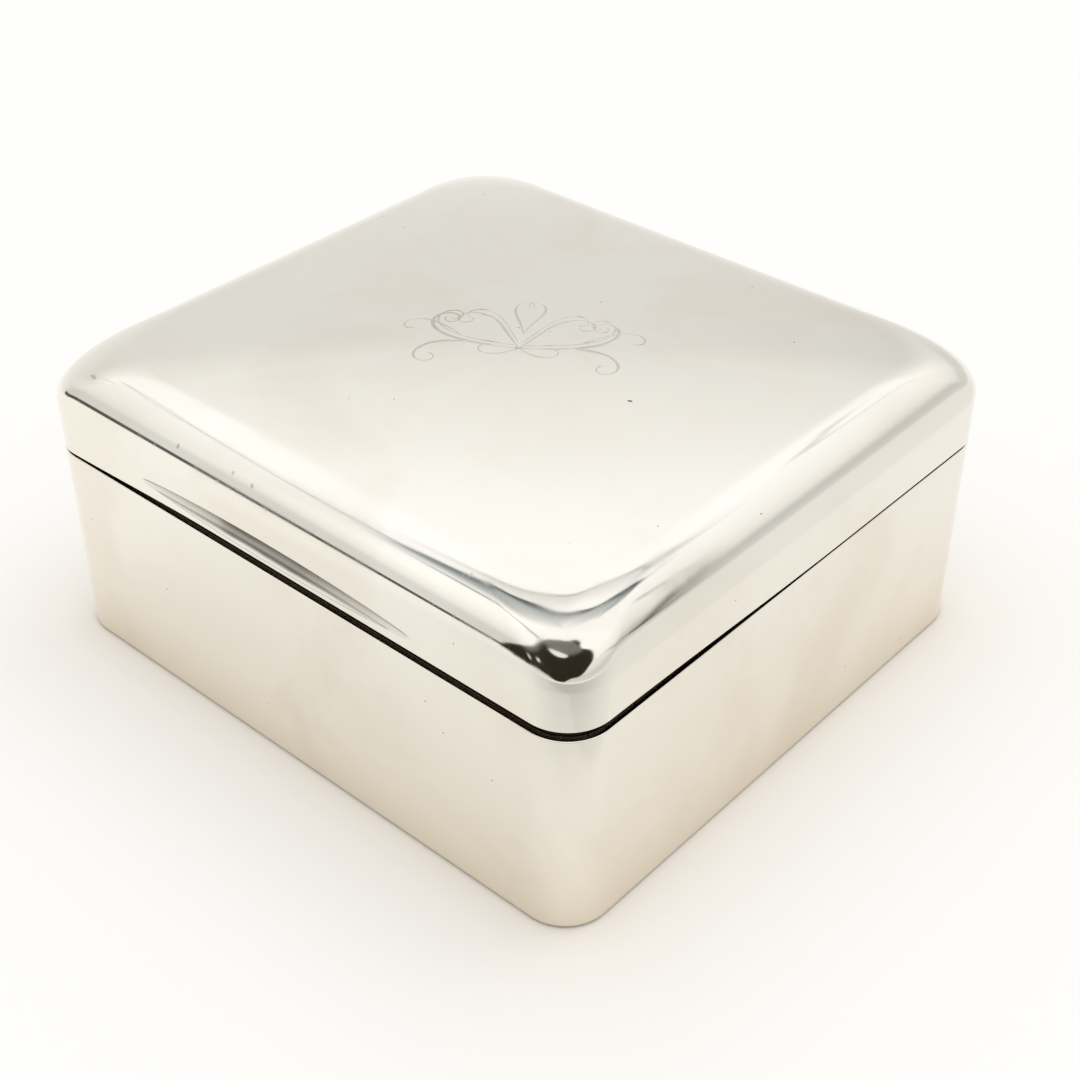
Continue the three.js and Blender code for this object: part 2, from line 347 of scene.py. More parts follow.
def domePoint(spot, under, share):
    edge = rollPoint(spot, under, rollEnd)
    side = rollPoint(rightMiddle, under, rollEnd)
    front = rollPoint(frontMiddle, under, rollEnd)
    point = Vector((edge.x * share, edge.y * share, edge.z))
    bowl = 1.0 - share * share
    pillow = (1.0 - (point.x / side.x) ** 2) * (1.0 - (point.y / front.y) ** 2)
    point.z += domeRise * blendOf(bowl, pillow, bowl * bowl)
    match = math.tan(edgeSlope) * edgeReach(spot, edge) - 2 * domeRise
    point.z += match * (1.0 - share) * share ** 4
    return point


def lidRings():
    spots = outlineSpots(boxOutline["lidSteps"])
    wall = lidShape["wall"]
    bandRows = len(bandHeights(Vector()))
    domeShares = evenShares(lidShape["domeRows"], lidShape["poleShare"], 1.0)[:-1]
    rollAngles = evenShares(lidShape["rollRows"], rollEnd, 0.0)
    rings = [[domePoint(spot, 0.0, share) for spot in spots] for share in domeShares]
    rings += [[rollPoint(spot, 0.0, angle) for spot in spots] for angle in rollAngles]
    rings += [[bandPoint(spot, 0.0, row) for spot in spots] for row in range(bandRows)]
    for inset, lift in rimRows(wall, 1.0):
        rings.append(raisedRing(spots, inset, lambda point: lidRim(point) + lift))
    innerFrom = len(rings)
    rings += [[bandPoint(spot, wall, row) for spot in spots] for row in reversed(range(bandRows))]
    rollAngles = evenShares(lidShape["innerRollRows"], 0.0, rollEnd)
    domeShares = evenShares(lidShape["innerDomeRows"], 1.0, lidShape["innerPoleShare"])[1:]
    rings += [[rollPoint(spot, wall, angle) for spot in spots] for angle in rollAngles]
    rings += [[domePoint(spot, wall, share) for spot in spots] for share in domeShares]
    return rings, innerFrom


def buildLid(materials):
    rings, innerFrom = lidRings()
    bm = ringSkin(rings, innerFrom)
    tree = BVHTree.FromBMesh(bm)
    addPiece("lid_shell", bm, "lid", materials, ("lid_top", "lid_band"))
    print("lid shell:", len(rings), "rings")
    return tree


# Body: straight walls on a flat base with an eased edge

bodyShape = {
    "wall": 0.9 * mm,
    "baseEdge": 0.5 * mm,
    "edgeRows": 6,
    "underRows": 8,
    "wallRows": 12,
    "poleShare": 0.02,
    "floorShares": (0.97, 0.6, 0.02),
}


def levelRing(spots, inset, height):
    return raisedRing(spots, inset, lambda point: height)


def shrunkRing(ring, share):
    return [Vector((point.x * share, point.y * share, point.z)) for point in ring]


def bodyRings():
    spots = outlineSpots(boxOutline["bodySteps"])
    wall = bodyShape["wall"]
    edge = bodyShape["baseEdge"]
    under = levelRing(spots, edge + seam["hold"], 0.0)
    underShares = evenShares(bodyShape["underRows"], bodyShape["poleShare"], 1.0)
    rings = [shrunkRing(under, share) for share in underShares]
    for angle in evenShares(bodyShape["edgeRows"], 0.0, math.pi / 2):
        rings.append(levelRing(spots, edge * (1.0 - math.sin(angle)), edge * (1.0 - math.cos(angle))))
    wallStart = edge + seam["hold"]
    reach = seam["fillet"] + seam["hold"]
    for share in evenShares(bodyShape["wallRows"])[:-1]:
        rings.append(raisedRing(spots, 0.0,
                                lambda point: blendOf(wallStart, lowerRim(point) - reach, share)))
    for inset, lift in rimRows(wall, -1.0):
        rings.append(raisedRing(spots, inset, lambda point: lowerRim(point) + lift))
    innerFrom = len(rings)
    floor = levelRing(spots, wall, plateHigh.z)
    rings.append(floor)
    rings += [shrunkRing(floor, share) for share in bodyShape["floorShares"]]
    return rings, innerFrom


def buildBody(materials):
    rings, innerFrom = bodyRings()
    bm = ringSkin(rings, innerFrom)
    addPiece("body_shell", bm, "body", materials, ("body_walls", "base_plate"))
    print("body shell:", len(rings), "rings")


# Hinge: turned knuckles, a wire pin and two end plugs

hingeParts = {
    "barrel": 1.25 * mm,
    "bore": 0.62 * mm,
    "wire": 0.55 * mm,
    "ease": 0.12 * mm,  # softened ends
    "easeRows": 4,
    "turns": 48,
    "merge": 0.0001 * mm,
    "bodyKnuckles": 4,
    "lidKnuckles": 3,
    "bearerEase": 0.08 * mm,
}


def turnedPiece(profile):
    bm = bmesh.new()
    verts = [bm.verts.new((along, hingeAxis.y, hingeAxis.z + radius)) for along, radius in profile]
    edges = [bm.edges.new(pair) for pair in zip(verts, verts[1:])]
    bmesh.ops.spin(bm, geom=verts + edges, cent=hingeAxis, axis=(1, 0, 0), angle=2 * math.pi,
                   steps=hingeParts["turns"], use_merge=True)
    bmesh.ops.remove_doubles(bm, verts=bm.verts, dist=hingeParts["merge"])
    bmesh.ops.recalc_face_normals(bm, faces=bm.faces)
    return bm


# Quarter-round end of a turned piece, from its face to its barrel
def roundedEnd(end, inward, radius):
    ease = hingeParts["ease"]
    turns = evenShares(hingeParts["easeRows"], 0.0, math.pi / 2)
    return [(end + inward * ease * (1.0 - math.sin(turn)), radius - ease * (1.0 - math.cos(turn)))
            for turn in reversed(turns)]


def barrelProfile(low, high, radius):
    return roundedEnd(low, 1.0, radius) + roundedEnd(high, -1.0, radius)[::-1]


def tubeProfile(low, high):
    bore = hingeParts["bore"]
    return [(low, bore), *barrelProfile(low, high, hingeParts["barrel"]), (high, bore), (low, bore)]


def rodProfile(low, high):
    return [(low, 0.0), *barrelProfile(low, high, hingeParts["wire"]), (high, 0.0)]


def buildHinge(silver, wire):
    for body, count in (("body", hingeParts["bodyKnuckles"]), ("lid", hingeParts["lidKnuckles"])):
        for number in range(1, count + 1):
            node = f"{body}_knuckle_{number}"
            low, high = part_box(node)
            addPiece(f"{body}_hinge_tube_{number}", turnedPiece(tubeProfile(low.x, high.x)),
                     body, [silver], (node,))
    for side in ("left", "right"):
        low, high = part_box(f"hinge_plug_{side}")
        addPiece(f"hinge_end_{side}", turnedPiece(rodProfile(low.x, high.x)),
                 "body", [silver], (f"hinge_plug_{side}",))
    low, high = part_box("hinge_pin")
    addPiece("hinge_wire", turnedPiece(rodProfile(low.x, high.x)),
             "body", [wire], ("hinge_pin",))
    for body in ("body", "lid"):
        node = f"{body}_hinge_bearer"
        addPiece(f"{body}_hinge_strip", easedCopy(node, hingeParts["bearerEase"]),
                 body, [silver], (node,))
    print("hinge: seven tubes on one wire")


# Engraved scrolls on the lid, the same on both sides of a middle line

lidOrnament = {
    "middle": (-0.7 * mm, 2.1 * mm),
    "turn": 33.0,  # degrees
    "steps": 90,
    "size": 1.12,
    "proud": 0.03 * mm,  # raised burr beside the cut
    "valley": 0.003 * mm,
    "sink": 0.02 * mm,
    "burr": 0.7,  # where the burr stands, as a share of the half width
    "leastWidth": 0.22,  # at a stroke's ends, as a share
    "lean": 0.8,  # under 1, the widest place lies nearer to the start
    "taper": 1.3,
    "curl": 3,  # the higher, the later a stroke bends
    # start across and up, heading, length, first and last bend in degrees per mm, width
    "strokes": (
        (0.0, -3.6, 2, 20.5, 1.5, 92, 0.66),
        (0.5, -3.0, 6, 18.0, 1.5, 84, 0.26),
        (2.9, -3.3, 14, 15.0, -4, -88, 0.56),
        (0.0, -3.6, 60, 15.4, 0.5, -98, 0.56),
        (0.3, -2.2, 63, 12.6, 0.5, -88, 0.25),
        (6.9, -1.6, 46, 10.4, -3, -96, 0.44),
        (0.0, -0.4, 78, 10.0, -4, 112, 0.46),
        (0.0, -3.6, -48, 6.6, 10, 110, 0.44),
    ),
}


def strokeSections(stroke, side):
    across, up, heading, length, firstBend, lastBend, width = stroke
    middle = Vector((*lidOrnament["middle"], 0.0))
    turn = Matrix.Rotation(math.radians(lidOrnament["turn"]), 3, "Z")
    steps = lidOrnament["steps"]
    angle = math.radians(heading)
    place = Vector((across, up, 0.0))
    sections = []
    for share in evenShares(steps):
        swell = math.sin(math.pi * share ** lidOrnament["lean"]) ** lidOrnament["taper"]
        half = width * mm / 2 * blendOf(lidOrnament["leastWidth"], 1.0, swell)
        point = middle + turn @ Vector((side * place.x, place.y, 0.0)) * lidOrnament["size"] * mm
        offset = turn @ Vector((-side * math.sin(angle), math.cos(angle), 0.0)) * half
        sections.append((point, offset))
        bend = blendOf(firstBend, lastBend, share ** lidOrnament["curl"])
        angle += math.radians(bend) * length / steps
        place += Vector((math.cos(angle), math.sin(angle), 0.0)) * length / steps
    return sections


def buildOrnament(lidTree, material):
    shape = lidOrnament
    profile = ((-1.0, -shape["sink"]), (-shape["burr"], shape["proud"]), (0.0, shape["valley"]),
               (shape["burr"], shape["proud"]), (1.0, -shape["sink"]))
    bm = bmesh.new()
    for stroke in shape["strokes"]:
        for side in (1, -1):
            rings = []
            for point, offset in strokeSections(stroke, side):
                ring = [point + offset * along + Vector((0.0, 0.0, topHigh.z)) for along, lift in profile]
                for corner, (along, lift) in zip(ring, profile):
                    corner.z = lidTree.ray_cast(corner + Vector((0.0, 0.0, mm)), (0, 0, -1))[0].z + lift
                rings.append(ring)
            ringSkin(rings, bm=bm)
    addPiece("lid_ornament", bm, "lid", [material])
    print("ornament:", len(shape["strokes"]), "strokes a side")


# A node's solid, merged and with its sharp edges eased

cadCopy = {
    "merge": 0.001 * mm,
    "flat": math.radians(1.0),
    "sharp": math.radians(25.0),
}


def easedCopy(node, ease):
    bm = bmesh.new()
    bm.from_mesh(cadNodes[node].data)
    bmesh.ops.remove_doubles(bm, verts=bm.verts, dist=cadCopy["merge"])
    bmesh.ops.dissolve_limit(bm, angle_limit=cadCopy["flat"], verts=bm.verts, edges=bm.edges)
    sharp = [edge for edge in bm.edges if edge.is_manifold and edge.calc_face_angle() > cadCopy["sharp"]]
    bmesh.ops.bevel(bm, geom=sharp, offset=ease, offset_type="OFFSET", affect="EDGES", segments=2,
                    profile=0.5, material=-1, clamp_overlap=True)
    return bm


# Cedar lining

liningBoards = {
    "ease": 0.18 * mm,
    "alongFront": ("lining_front", "lining_back"),
    "alongSide": ("lining_left", "lining_right", "lining_divider", "lining_floor"),
}


def buildLining(frontGrain, sideGrain):
    for group, material in (("alongFront", frontGrain), ("alongSide", sideGrain)):
        for node in liningBoards[group]:
            name = node.replace("lining", "cedar")
            addPiece(name, easedCopy(node, liningBoards["ease"]), "body", [material], (node,))
    print("lining: six cedar boards")


# Helpers for shader nodes

def feed(tree, socket, value):
    if isinstance(value, bpy.types.NodeSocket):
        tree.links.new(value, socket)
    else:
        socket.default_value = value


def addNode(tree, kind, inputs=None, **settings):
    node = tree.nodes.new(kind)
    for name, value in settings.items():
        setattr(node, name, value)
    for name, value in (inputs or {}).items():
        feed(tree, node.inputs[name], value)
    return node


def calc(tree, operation, *values):
    node = addNode(tree, "ShaderNodeMath", operation=operation)
    for socket, value in zip(node.inputs, values):
        feed(tree, socket, value)
    return node.outputs[0]


def spread(tree, value, fromLow, fromHigh, toLow=0.0, toHigh=1.0, kind="SMOOTHSTEP"):
    node = addNode(tree, "ShaderNodeMapRange", interpolation_type=kind, inputs={
        "Value": value, "From Min": fromLow, "From Max": fromHigh, "To Min": toLow, "To Max": toHigh})
    return node.outputs["Result"]


def mixColour(tree, share, first, last, mode="MIX"):
    node = addNode(tree, "ShaderNodeMix", data_type="RGBA", blend_type=mode)
    feed(tree, node.inputs[0], share)
    feed(tree, node.inputs[6], first)
    feed(tree, node.inputs[7], last)
    return node.outputs[2]


def turned(tree, vector, scale=(1, 1, 1), rotation=(0, 0, 0), location=(0, 0, 0), kind="POINT"):
    angles = Euler([math.radians(angle) for angle in rotation])
    node = addNode(tree, "ShaderNodeMapping", vector_type=kind, inputs={
        "Vector": vector, "Scale": scale, "Rotation": angles, "Location": location})
    return node.outputs["Vector"]


def noiseOf(tree, vector, scale, detail=2.0, roughness=0.5, distortion=0.0):
    node = addNode(tree, "ShaderNodeTexNoise", inputs={
        "Vector": vector, "Scale": scale, "Detail": detail, "Roughness": roughness,
        "Distortion": distortion})
    return node.outputs["Fac"]


# A smooth curve through a few points, each a value and its result
def curveOf(tree, value, points):
    low, least = [min(column) for column in zip(*points)]
    high, most = [max(column) for column in zip(*points)]
    shares = [((place - low) / (high - low), (result - least) / (most - least)) for place, result in points]
    along = spread(tree, value, low, high, kind="LINEAR")
    node = addNode(tree, "ShaderNodeFloatCurve", inputs={"Value": along})
    line = node.mapping.curves[0].points
    line[0].location = shares[0]
    line[1].location = shares[-1]
    for share in shares[1:-1]:
        line.new(*share)
    for point in line:
        point.handle_type = "AUTO_CLAMPED"
    node.mapping.update()
    return spread(tree, node.outputs["Value"], 0.0, 1.0, least, most, "LINEAR")


def partsOf(tree, vector):
    return addNode(tree, "ShaderNodeSeparateXYZ", inputs={0: vector}).outputs


def lengthOf(tree, vector):
    return addNode(tree, "ShaderNodeVectorMath", operation="LENGTH", inputs={0: vector}).outputs["Value"]


def fromPoint(tree, vector, point):
    node = addNode(tree, "ShaderNodeVectorMath", operation="SUBTRACT", inputs={0: vector, 1: point})
    return node.outputs[0]


def minus(tree, first, last):
    return calc(tree, "SUBTRACT", first, last)


def apart(tree, first, last):
    return calc(tree, "ABSOLUTE", minus(tree, first, last))


def product(tree, *values):
    total = values[0]
    for value in values[1:]:
        total = calc(tree, "MULTIPLY", total, value)
    return total


# From a share down to nothing
def fall(tree, value, low, high, share=1.0):
    return spread(tree, value, low, high, share, 0.0)


def between(tree, value, low, high, soft):
    return product(tree, spread(tree, value, low - soft, low + soft),
                   fall(tree, value, high - soft, high + soft))


# Soft line where two values meet
def softLine(tree, value, middle, half, share):
    return fall(tree, apart(tree, value, middle), 0.0, half, share)


# Turn and height in degrees of a direction
def bearings(tree, direction):
    parts = partsOf(tree, direction)
    turn = calc(tree, "ARCTAN2", parts["X"], product(tree, parts["Y"], -1.0))
    height = calc(tree, "ARCSINE", parts["Z"])
    return calc(tree, "DEGREES", turn), calc(tree, "DEGREES", height)


# Distance out from the box's round-cornered outline, negative inside it
def outsideBox(tree, coords):
    parts = partsOf(tree, coords)
    corner = boxOutline["corner"]
    pastX = minus(tree, calc(tree, "ABSOLUTE", parts["X"]), halfWidth - corner)
    pastY = minus(tree, calc(tree, "ABSOLUTE", parts["Y"]), halfDepth - corner)
    out = addNode(tree, "ShaderNodeCombineXYZ", inputs={
        "X": calc(tree, "MAXIMUM", pastX, 0.0), "Y": calc(tree, "MAXIMUM", pastY, 0.0)})
    within = calc(tree, "MINIMUM", calc(tree, "MAXIMUM", pastX, pastY), 0.0)
    return minus(tree, calc(tree, "ADD", lengthOf(tree, out.outputs[0]), within), corner)


# A node group that turns a place into named values
def startGroup(name, values):
    group = bpy.data.node_groups.new(name, "ShaderNodeTree")
    group.interface.new_socket(name="Vector", in_out="INPUT", socket_type="NodeSocketVector")
    for label in values:
        group.interface.new_socket(name=label, in_out="OUTPUT", socket_type="NodeSocketFloat")
    inlet = group.nodes.new("NodeGroupInput")
    outlet = group.nodes.new("NodeGroupOutput")
    return group, inlet.outputs["Vector"], outlet.inputs


def placeGroup(tree, group, vector):
    return addNode(tree, "ShaderNodeGroup", node_tree=group, inputs={"Vector": vector}).outputs


def bumpOf(tree, height, depth):
    return addNode(tree, "ShaderNodeBump", inputs={"Height": height, "Distance": depth}).outputs["Normal"]


# Plain light over a shader, by a mask
def layLight(tree, mask, under, colour):
    light = addNode(tree, "ShaderNodeEmission", inputs={"Color": colour})
    joined = addNode(tree, "ShaderNodeMixShader", inputs={
        0: mask, 1: under.outputs[0], 2: light.outputs[0]})
    feed(tree, tree.nodes["Material Output"].inputs["Surface"], joined.outputs[0])


def newMaterial(name):
    material = bpy.data.materials.new(name)
    material.use_nodes = True
    tree = material.node_tree
    surface = tree.nodes["Principled BSDF"]
    coords = addNode(tree, "ShaderNodeTexCoord").outputs["Object"]
    return material, tree, surface, coords


# Wear that all the metals share: cloudy tarnish, hairline scratches, specks and a hand-worked waviness

wearValues = {
    # noises as scale, detail, roughness and distortion
    "cloud": (42.0, 4.0, 0.55, 0.6),
    "mottle": (160.0, 3.0, 0.6),
    "hair": (900.0, 1.0),
    "wave": (38.0, 1.0, 0.4),
    "hairStretch": 0.02,
    "hairTurns": ((0, 0, 24), (14, 0, -38), (0, 20, 71)),
    "speckScale": 210.0,
    # levels where each kind of wear starts and is full
    "tarnish": (0.42, 0.72),
    "hazeMottle": (0.35, 0.75),
    "hazeCloud": (0.3, 0.65),
    "hairlines": (0.7, 0.76),
    "specks": (0.016, 0.03),
}


def makeMetalWear():
    group, vector, outlet = startGroup("metalWear", ("Tarnish", "Haze", "Hairlines", "Specks", "Waves"))
    cloud = noiseOf(group, vector, *wearValues["cloud"])
    mottle = noiseOf(group, vector, *wearValues["mottle"])
    feed(group, outlet["Tarnish"], spread(group, cloud, *wearValues["tarnish"]))
    haze = product(group, spread(group, mottle, *wearValues["hazeMottle"]),
                   spread(group, cloud, *wearValues["hazeCloud"]))
    feed(group, outlet["Haze"], haze)
    hairlines = 0.0
    for turn in wearValues["hairTurns"]:
        stretched = turned(group, vector, (1.0, wearValues["hairStretch"], 1.0), turn)
        streak = noiseOf(group, stretched, *wearValues["hair"])
        hairlines = calc(group, "MAXIMUM", hairlines, spread(group, streak, *wearValues["hairlines"]))
    feed(group, outlet["Hairlines"], hairlines)
    cells = addNode(group, "ShaderNodeTexVoronoi", inputs={
        "Vector": vector, "Scale": wearValues["speckScale"]})
    feed(group, outlet["Specks"], fall(group, cells.outputs["Distance"], *wearValues["specks"]))
    feed(group, outlet["Waves"], noiseOf(group, vector, *wearValues["wave"]))
    return group


silverFinish = {
    "clean": (0.868, 0.834, 0.752, 1.0),
    "tarnish": (0.77, 0.705, 0.60, 1.0),
    "speck": (0.30, 0.26, 0.21, 1.0),
    # painted reflection of the warm shaded paper, warmer towards the bottom of the body
    "footWarmReflection": (0.77, 0.70, 0.58, 1.0),
    "warmReflectionHigh": 12.0 * mm,
    "warmReflectionShare": 0.4,
    # painted contact shadow: a dark line at the very foot of the body, where it stands on the paper
    "contactShadeColour": (0.25, 0.22, 0.175, 1.0),
    "contactShadeHigh": (0.2 * mm, 0.55 * mm),
    "contactShadeShare": 0.8,
    "tarnishShare": {"lid_silver": 0.36, "body_silver": 0.5},
    "polish": 0.055,
    "hazeRoughness": 0.09,
    "hairRoughness": 0.05,
    "waveDepth": 0.03 * mm,
}
# Dark spots painted as the shade in small pits and nicks of the lid
lidKnockShade = {
    "colour": (0.07, 0.06, 0.05, 1.0),
    "edge": (0.5, 1.1),
    # place and half sizes in mm, turn in degrees, darkness of the painted shade
    "marks": (
        ((19.54, -1.51, 42.63), (0.38, 0.22, 0.5), (0, 0, 25), 0.95),
        ((-17.68, -40.14, 39.01), (0.3, 0.6, 0.26), (20, 0, 0), 0.4),
        ((-8.02, -39.88, 39.39), (0.26, 0.6, 0.2), (20, 0, 0), 0.32),
        ((-4.59, -40.01, 39.21), (0.3, 0.6, 0.24), (20, 0, 15), 0.36),
        ((-35.8, -38.5, 40.5), (0.9, 0.24, 0.4), (0, 0, -12), 0.34),
    ),
}
# Tarnish left in the thumb scoop: thickest under its upper edge and low down, thinner towards the ends
scoopTarnish = {
    "colour": (0.045, 0.034, 0.024, 1.0),
    # shares by height, from the lower edge at -1 to the upper edge at 1, and by distance from the middle
    "across": ((-1.05, 0.0), (-0.9, 0.1), (-0.8, 0.34), (-0.7, 0.7), (-0.58, 0.88), (-0.46, 0.74),
               (-0.3, 0.66), (0.0, 0.8), (0.4, 0.95), (0.7, 1.0), (1.2, 1.0)),
    "along": ((-1.0, 0.08), (-0.8, 0.28), (-0.6, 0.42), (-0.42, 0.6), (-0.28, 0.97), (0.0, 1.0), (0.18, 1.0),
              (0.3, 0.88), (0.45, 0.7), (0.6, 0.52), (0.8, 0.3), (1.0, 0.1)),
    "metalLost": 0.85,  # thick tarnish no longer mirrors
    "dulling": 0.3,
    "leastHalf": 0.02 * mm,  # half height to divide by at the tips
    "overEdge": (-0.05 * mm, 0.03 * mm),  # it ends at the upper edge
    "outline": (0.05 * mm, 0.14 * mm),
    "outlineShare": (0.16, 0.7),  # lower and upper edge
    "outlineTurn": (-0.1 * mm, 0.1 * mm),
    "outlineFrom": (0.05 * mm, 0.3 * mm),  # no outline where the scoop runs out
    "ragged": (0.3, 0.55, 0.92, 1.0),
    "raggedNoise": (300.0, 3.0, 0.6),
    "raggedStretch": 0.22,
    "raggedShift": 0.35,
    "front": (-40.2 * mm, -39.6 * mm),
}


# Place in the thumb scoop: share of its length from the middle, half height there, height from the middle
def scoopPlace(tree, parts):
    along = minus(tree, parts["X"], thumbScoop["shift"])
    along = calc(tree, "DIVIDE", along, thumbScoop["length"] / 2)
    swell = minus(tree, 1.0, product(tree, along, along))
    swell = calc(tree, "POWER", calc(tree, "MAXIMUM", swell, 0.0), thumbScoop["taper"])
    dip = product(tree, swell, thumbScoop["depth"])
    half = calc(tree, "SQRT", product(tree, dip, calc(tree, "ADD", dip, 2 * scoopOffset)))
    return along, half, minus(tree, parts["Z"], scoopMiddle)


def scoopMask(tree, coords):
    shape = scoopTarnish
    parts = partsOf(tree, coords)
    along, half, up = scoopPlace(tree, parts)
    ragged = noiseOf(tree, turned(tree, coords, (shape["raggedStretch"], 1.0, 1.0)), *shape["raggedNoise"])
    across = calc(tree, "DIVIDE", up, calc(tree, "MAXIMUM", half, shape["leastHalf"]))
    across = calc(tree, "MULTIPLY_ADD", minus(tree, ragged, 0.5), shape["raggedShift"], across)
    stainAndShade = product(tree, curveOf(tree, across, shape["across"]), curveOf(tree, along, shape["along"]),
                    fall(tree, minus(tree, up, half), *shape["overEdge"]),
                    spread(tree, ragged, *shape["ragged"]))
    edge = apart(tree, calc(tree, "ABSOLUTE", up), half)
    line = product(tree, fall(tree, edge, *shape["outline"]),
                   spread(tree, up, *shape["outlineTurn"], *shape["outlineShare"]),
                   spread(tree, half, *shape["outlineFrom"]))
    return product(tree, calc(tree, "MAXIMUM", stainAndShade, line), fall(tree, parts["Y"], *shape["front"]))


# Distance from a spot's middle, 1 at its edge
def spotDistance(tree, coords, place, half, turn):
    sizes = [size * mm for size in half]
    return lengthOf(tree, turned(tree, coords, sizes, turn, [part * mm for part in place], "TEXTURE"))


def silverMaterial(name, wear):
    material, tree, surface, coords = newMaterial(name)
    worn = placeGroup(tree, wear, coords)
    dull = product(tree, worn["Tarnish"], silverFinish["tarnishShare"][name])
    colour = mixColour(tree, dull, silverFinish["clean"], silverFinish["tarnish"])
    high = partsOf(tree, coords)["Z"]
    # painted reflection: warmer towards the bottom
    foot = fall(tree, high, 0.0, silverFinish["warmReflectionHigh"], silverFinish["warmReflectionShare"])
    colour = mixColour(tree, foot, colour, silverFinish["footWarmReflection"])
    # painted contact shadow along the foot
    contactShade = fall(tree, high, *silverFinish["contactShadeHigh"], silverFinish["contactShadeShare"])
    colour = mixColour(tree, contactShade, colour, silverFinish["contactShadeColour"])
    colour = mixColour(tree, worn["Specks"], colour, silverFinish["speck"])
    rough = calc(tree, "MULTIPLY_ADD", worn["Haze"], silverFinish["hazeRoughness"], silverFinish["polish"])
    rough = calc(tree, "MULTIPLY_ADD", worn["Hairlines"], silverFinish["hairRoughness"], rough)
    feed(tree, surface.inputs["Base Color"], colour)
    feed(tree, surface.inputs["Roughness"], rough)
    feed(tree, surface.inputs["Normal"], bumpOf(tree, worn["Waves"], silverFinish["waveDepth"]))
    surface.inputs["Metallic"].default_value = 1.0
    return material


# The lid's silver also has painted shade in its knocks, and the tarnished scoop
def lidMaterial(wear):
    material = silverMaterial("lid_silver", wear)
    tree = material.node_tree
    surface = tree.nodes["Principled BSDF"]
    coords = tree.nodes["Texture Coordinate"].outputs["Object"]
    stainAndShade = scoopMask(tree, coords)
    colour = surface.inputs["Base Color"].links[0].from_socket
    colour = mixColour(tree, stainAndShade, colour, scoopTarnish["colour"])
    rough = surface.inputs["Roughness"].links[0].from_socket
    rough = calc(tree, "MULTIPLY_ADD", stainAndShade, scoopTarnish["dulling"], rough)
    metal = calc(tree, "MULTIPLY_ADD", stainAndShade, -scoopTarnish["metalLost"], 1.0)
    feed(tree, surface.inputs["Roughness"], rough)
    feed(tree, surface.inputs["Metallic"], metal)
    for *spot, darkness in lidKnockShade["marks"]:
        mark = fall(tree, spotDistance(tree, coords, *spot), *lidKnockShade["edge"], darkness)
        colour = mixColour(tree, mark, colour, lidKnockShade["colour"])
    feed(tree, surface.inputs["Base Color"], colour)
    return material


# The other metals: cut lines of the ornament, painted a little darker than the polish round them as shade in
# the cuts, the rubbed gilding inside the lid and the hinge's wire

cutShadeFinish = {
    "bright": (0.66, 0.63, 0.57, 1.0),
    "worn": (0.46, 0.43, 0.38, 1.0),
    "wornBy": "Tarnish",
    "polish": 0.12,
    "hazeRoughness": 0.12,
}
giltFinish = {
    "bright": (0.90, 0.70, 0.36, 1.0),
    "worn": (0.86, 0.79, 0.66, 1.0),
    "wornBy": "Haze",
    "polish": 0.16,
    "hazeRoughness": 0.2,
    "waveDepth": 0.05 * mm,
}
wireFinish = {
    "bright": (0.70, 0.68, 0.63, 1.0),
    "worn": (0.48, 0.44, 0.38, 1.0),
    "wornBy": "Tarnish",
    "polish": 0.26,
    "hazeRoughness": 0.15,
}


def wornMetal(name, wear, finish):
    material, tree, surface, coords = newMaterial(name)
    worn = placeGroup(tree, wear, coords)
    colour = mixColour(tree, worn[finish["wornBy"]], finish["bright"], finish["worn"])
    rough = calc(tree, "MULTIPLY_ADD", worn["Haze"], finish["hazeRoughness"], finish["polish"])
    feed(tree, surface.inputs["Base Color"], colour)
    feed(tree, surface.inputs["Roughness"], rough)
    if "waveDepth" in finish:
        feed(tree, surface.inputs["Normal"], bumpOf(tree, worn["Waves"], finish["waveDepth"]))
    surface.inputs["Metallic"].default_value = 1.0
    return material


# Cedar: growth bands, fibres and pores along the board

cedarFinish = {
    "early": (0.60, 0.345, 0.19, 1.0),
    "late": (0.36, 0.165, 0.075, 1.0),
    "pore": (0.19, 0.085, 0.04, 1.0),
    # noises as scale, detail, roughness and distortion
    "drift": (75.0, 2.0),
    "bands": (300.0, 3.0, 0.55, 0.4),
    "fibres": (2600.0, 2.0),
    "pores": (1500.0, 1.0),
    "fibreStretch": 0.03,
    "bandStretch": 0.12,
    "driftShare": 0.6,
    "bandShare": 0.55,
    "bandEdge": (0.4, 0.76),
    "poreEdge": (0.66, 0.74),
    "fibreShade": (0.3, 0.7, 0.82, 1.1),
    "roughness": (0.66, 0.5),  # of early and late wood
    "fibreDepth": 0.05 * mm,
    "paintedEdgeShade": (0.05, 0.5),  # share of the colour left by painted shade at the foot of the outer edge, and at its top
    "edgeShadeHigh": (0.9 * mm, 1.5 * mm),  # above the body's rim
    "edgeShadeInset": 1.9 * mm,
    "edgeShadeFade": 0.35 * mm,
}


def makeCedarGrain():
    group, vector, outlet = startGroup("cedarGrain", ("Bands", "Fibres", "Pores"))
    wide = turned(group, vector, (cedarFinish["bandStretch"], 1.0, 1.0))
    drift = noiseOf(group, wide, *cedarFinish["drift"])
    bands = product(group, noiseOf(group, wide, *cedarFinish["bands"]), cedarFinish["bandShare"])
    bands = calc(group, "MULTIPLY_ADD", drift, cedarFinish["driftShare"], bands)
    feed(group, outlet["Bands"], spread(group, bands, *cedarFinish["bandEdge"]))
    long = turned(group, vector, (cedarFinish["fibreStretch"], 1.0, 1.0))
    feed(group, outlet["Fibres"], noiseOf(group, long, *cedarFinish["fibres"]))
    pores = noiseOf(group, long, *cedarFinish["pores"])
    feed(group, outlet["Pores"], spread(group, pores, *cedarFinish["poreEdge"]))
    return group


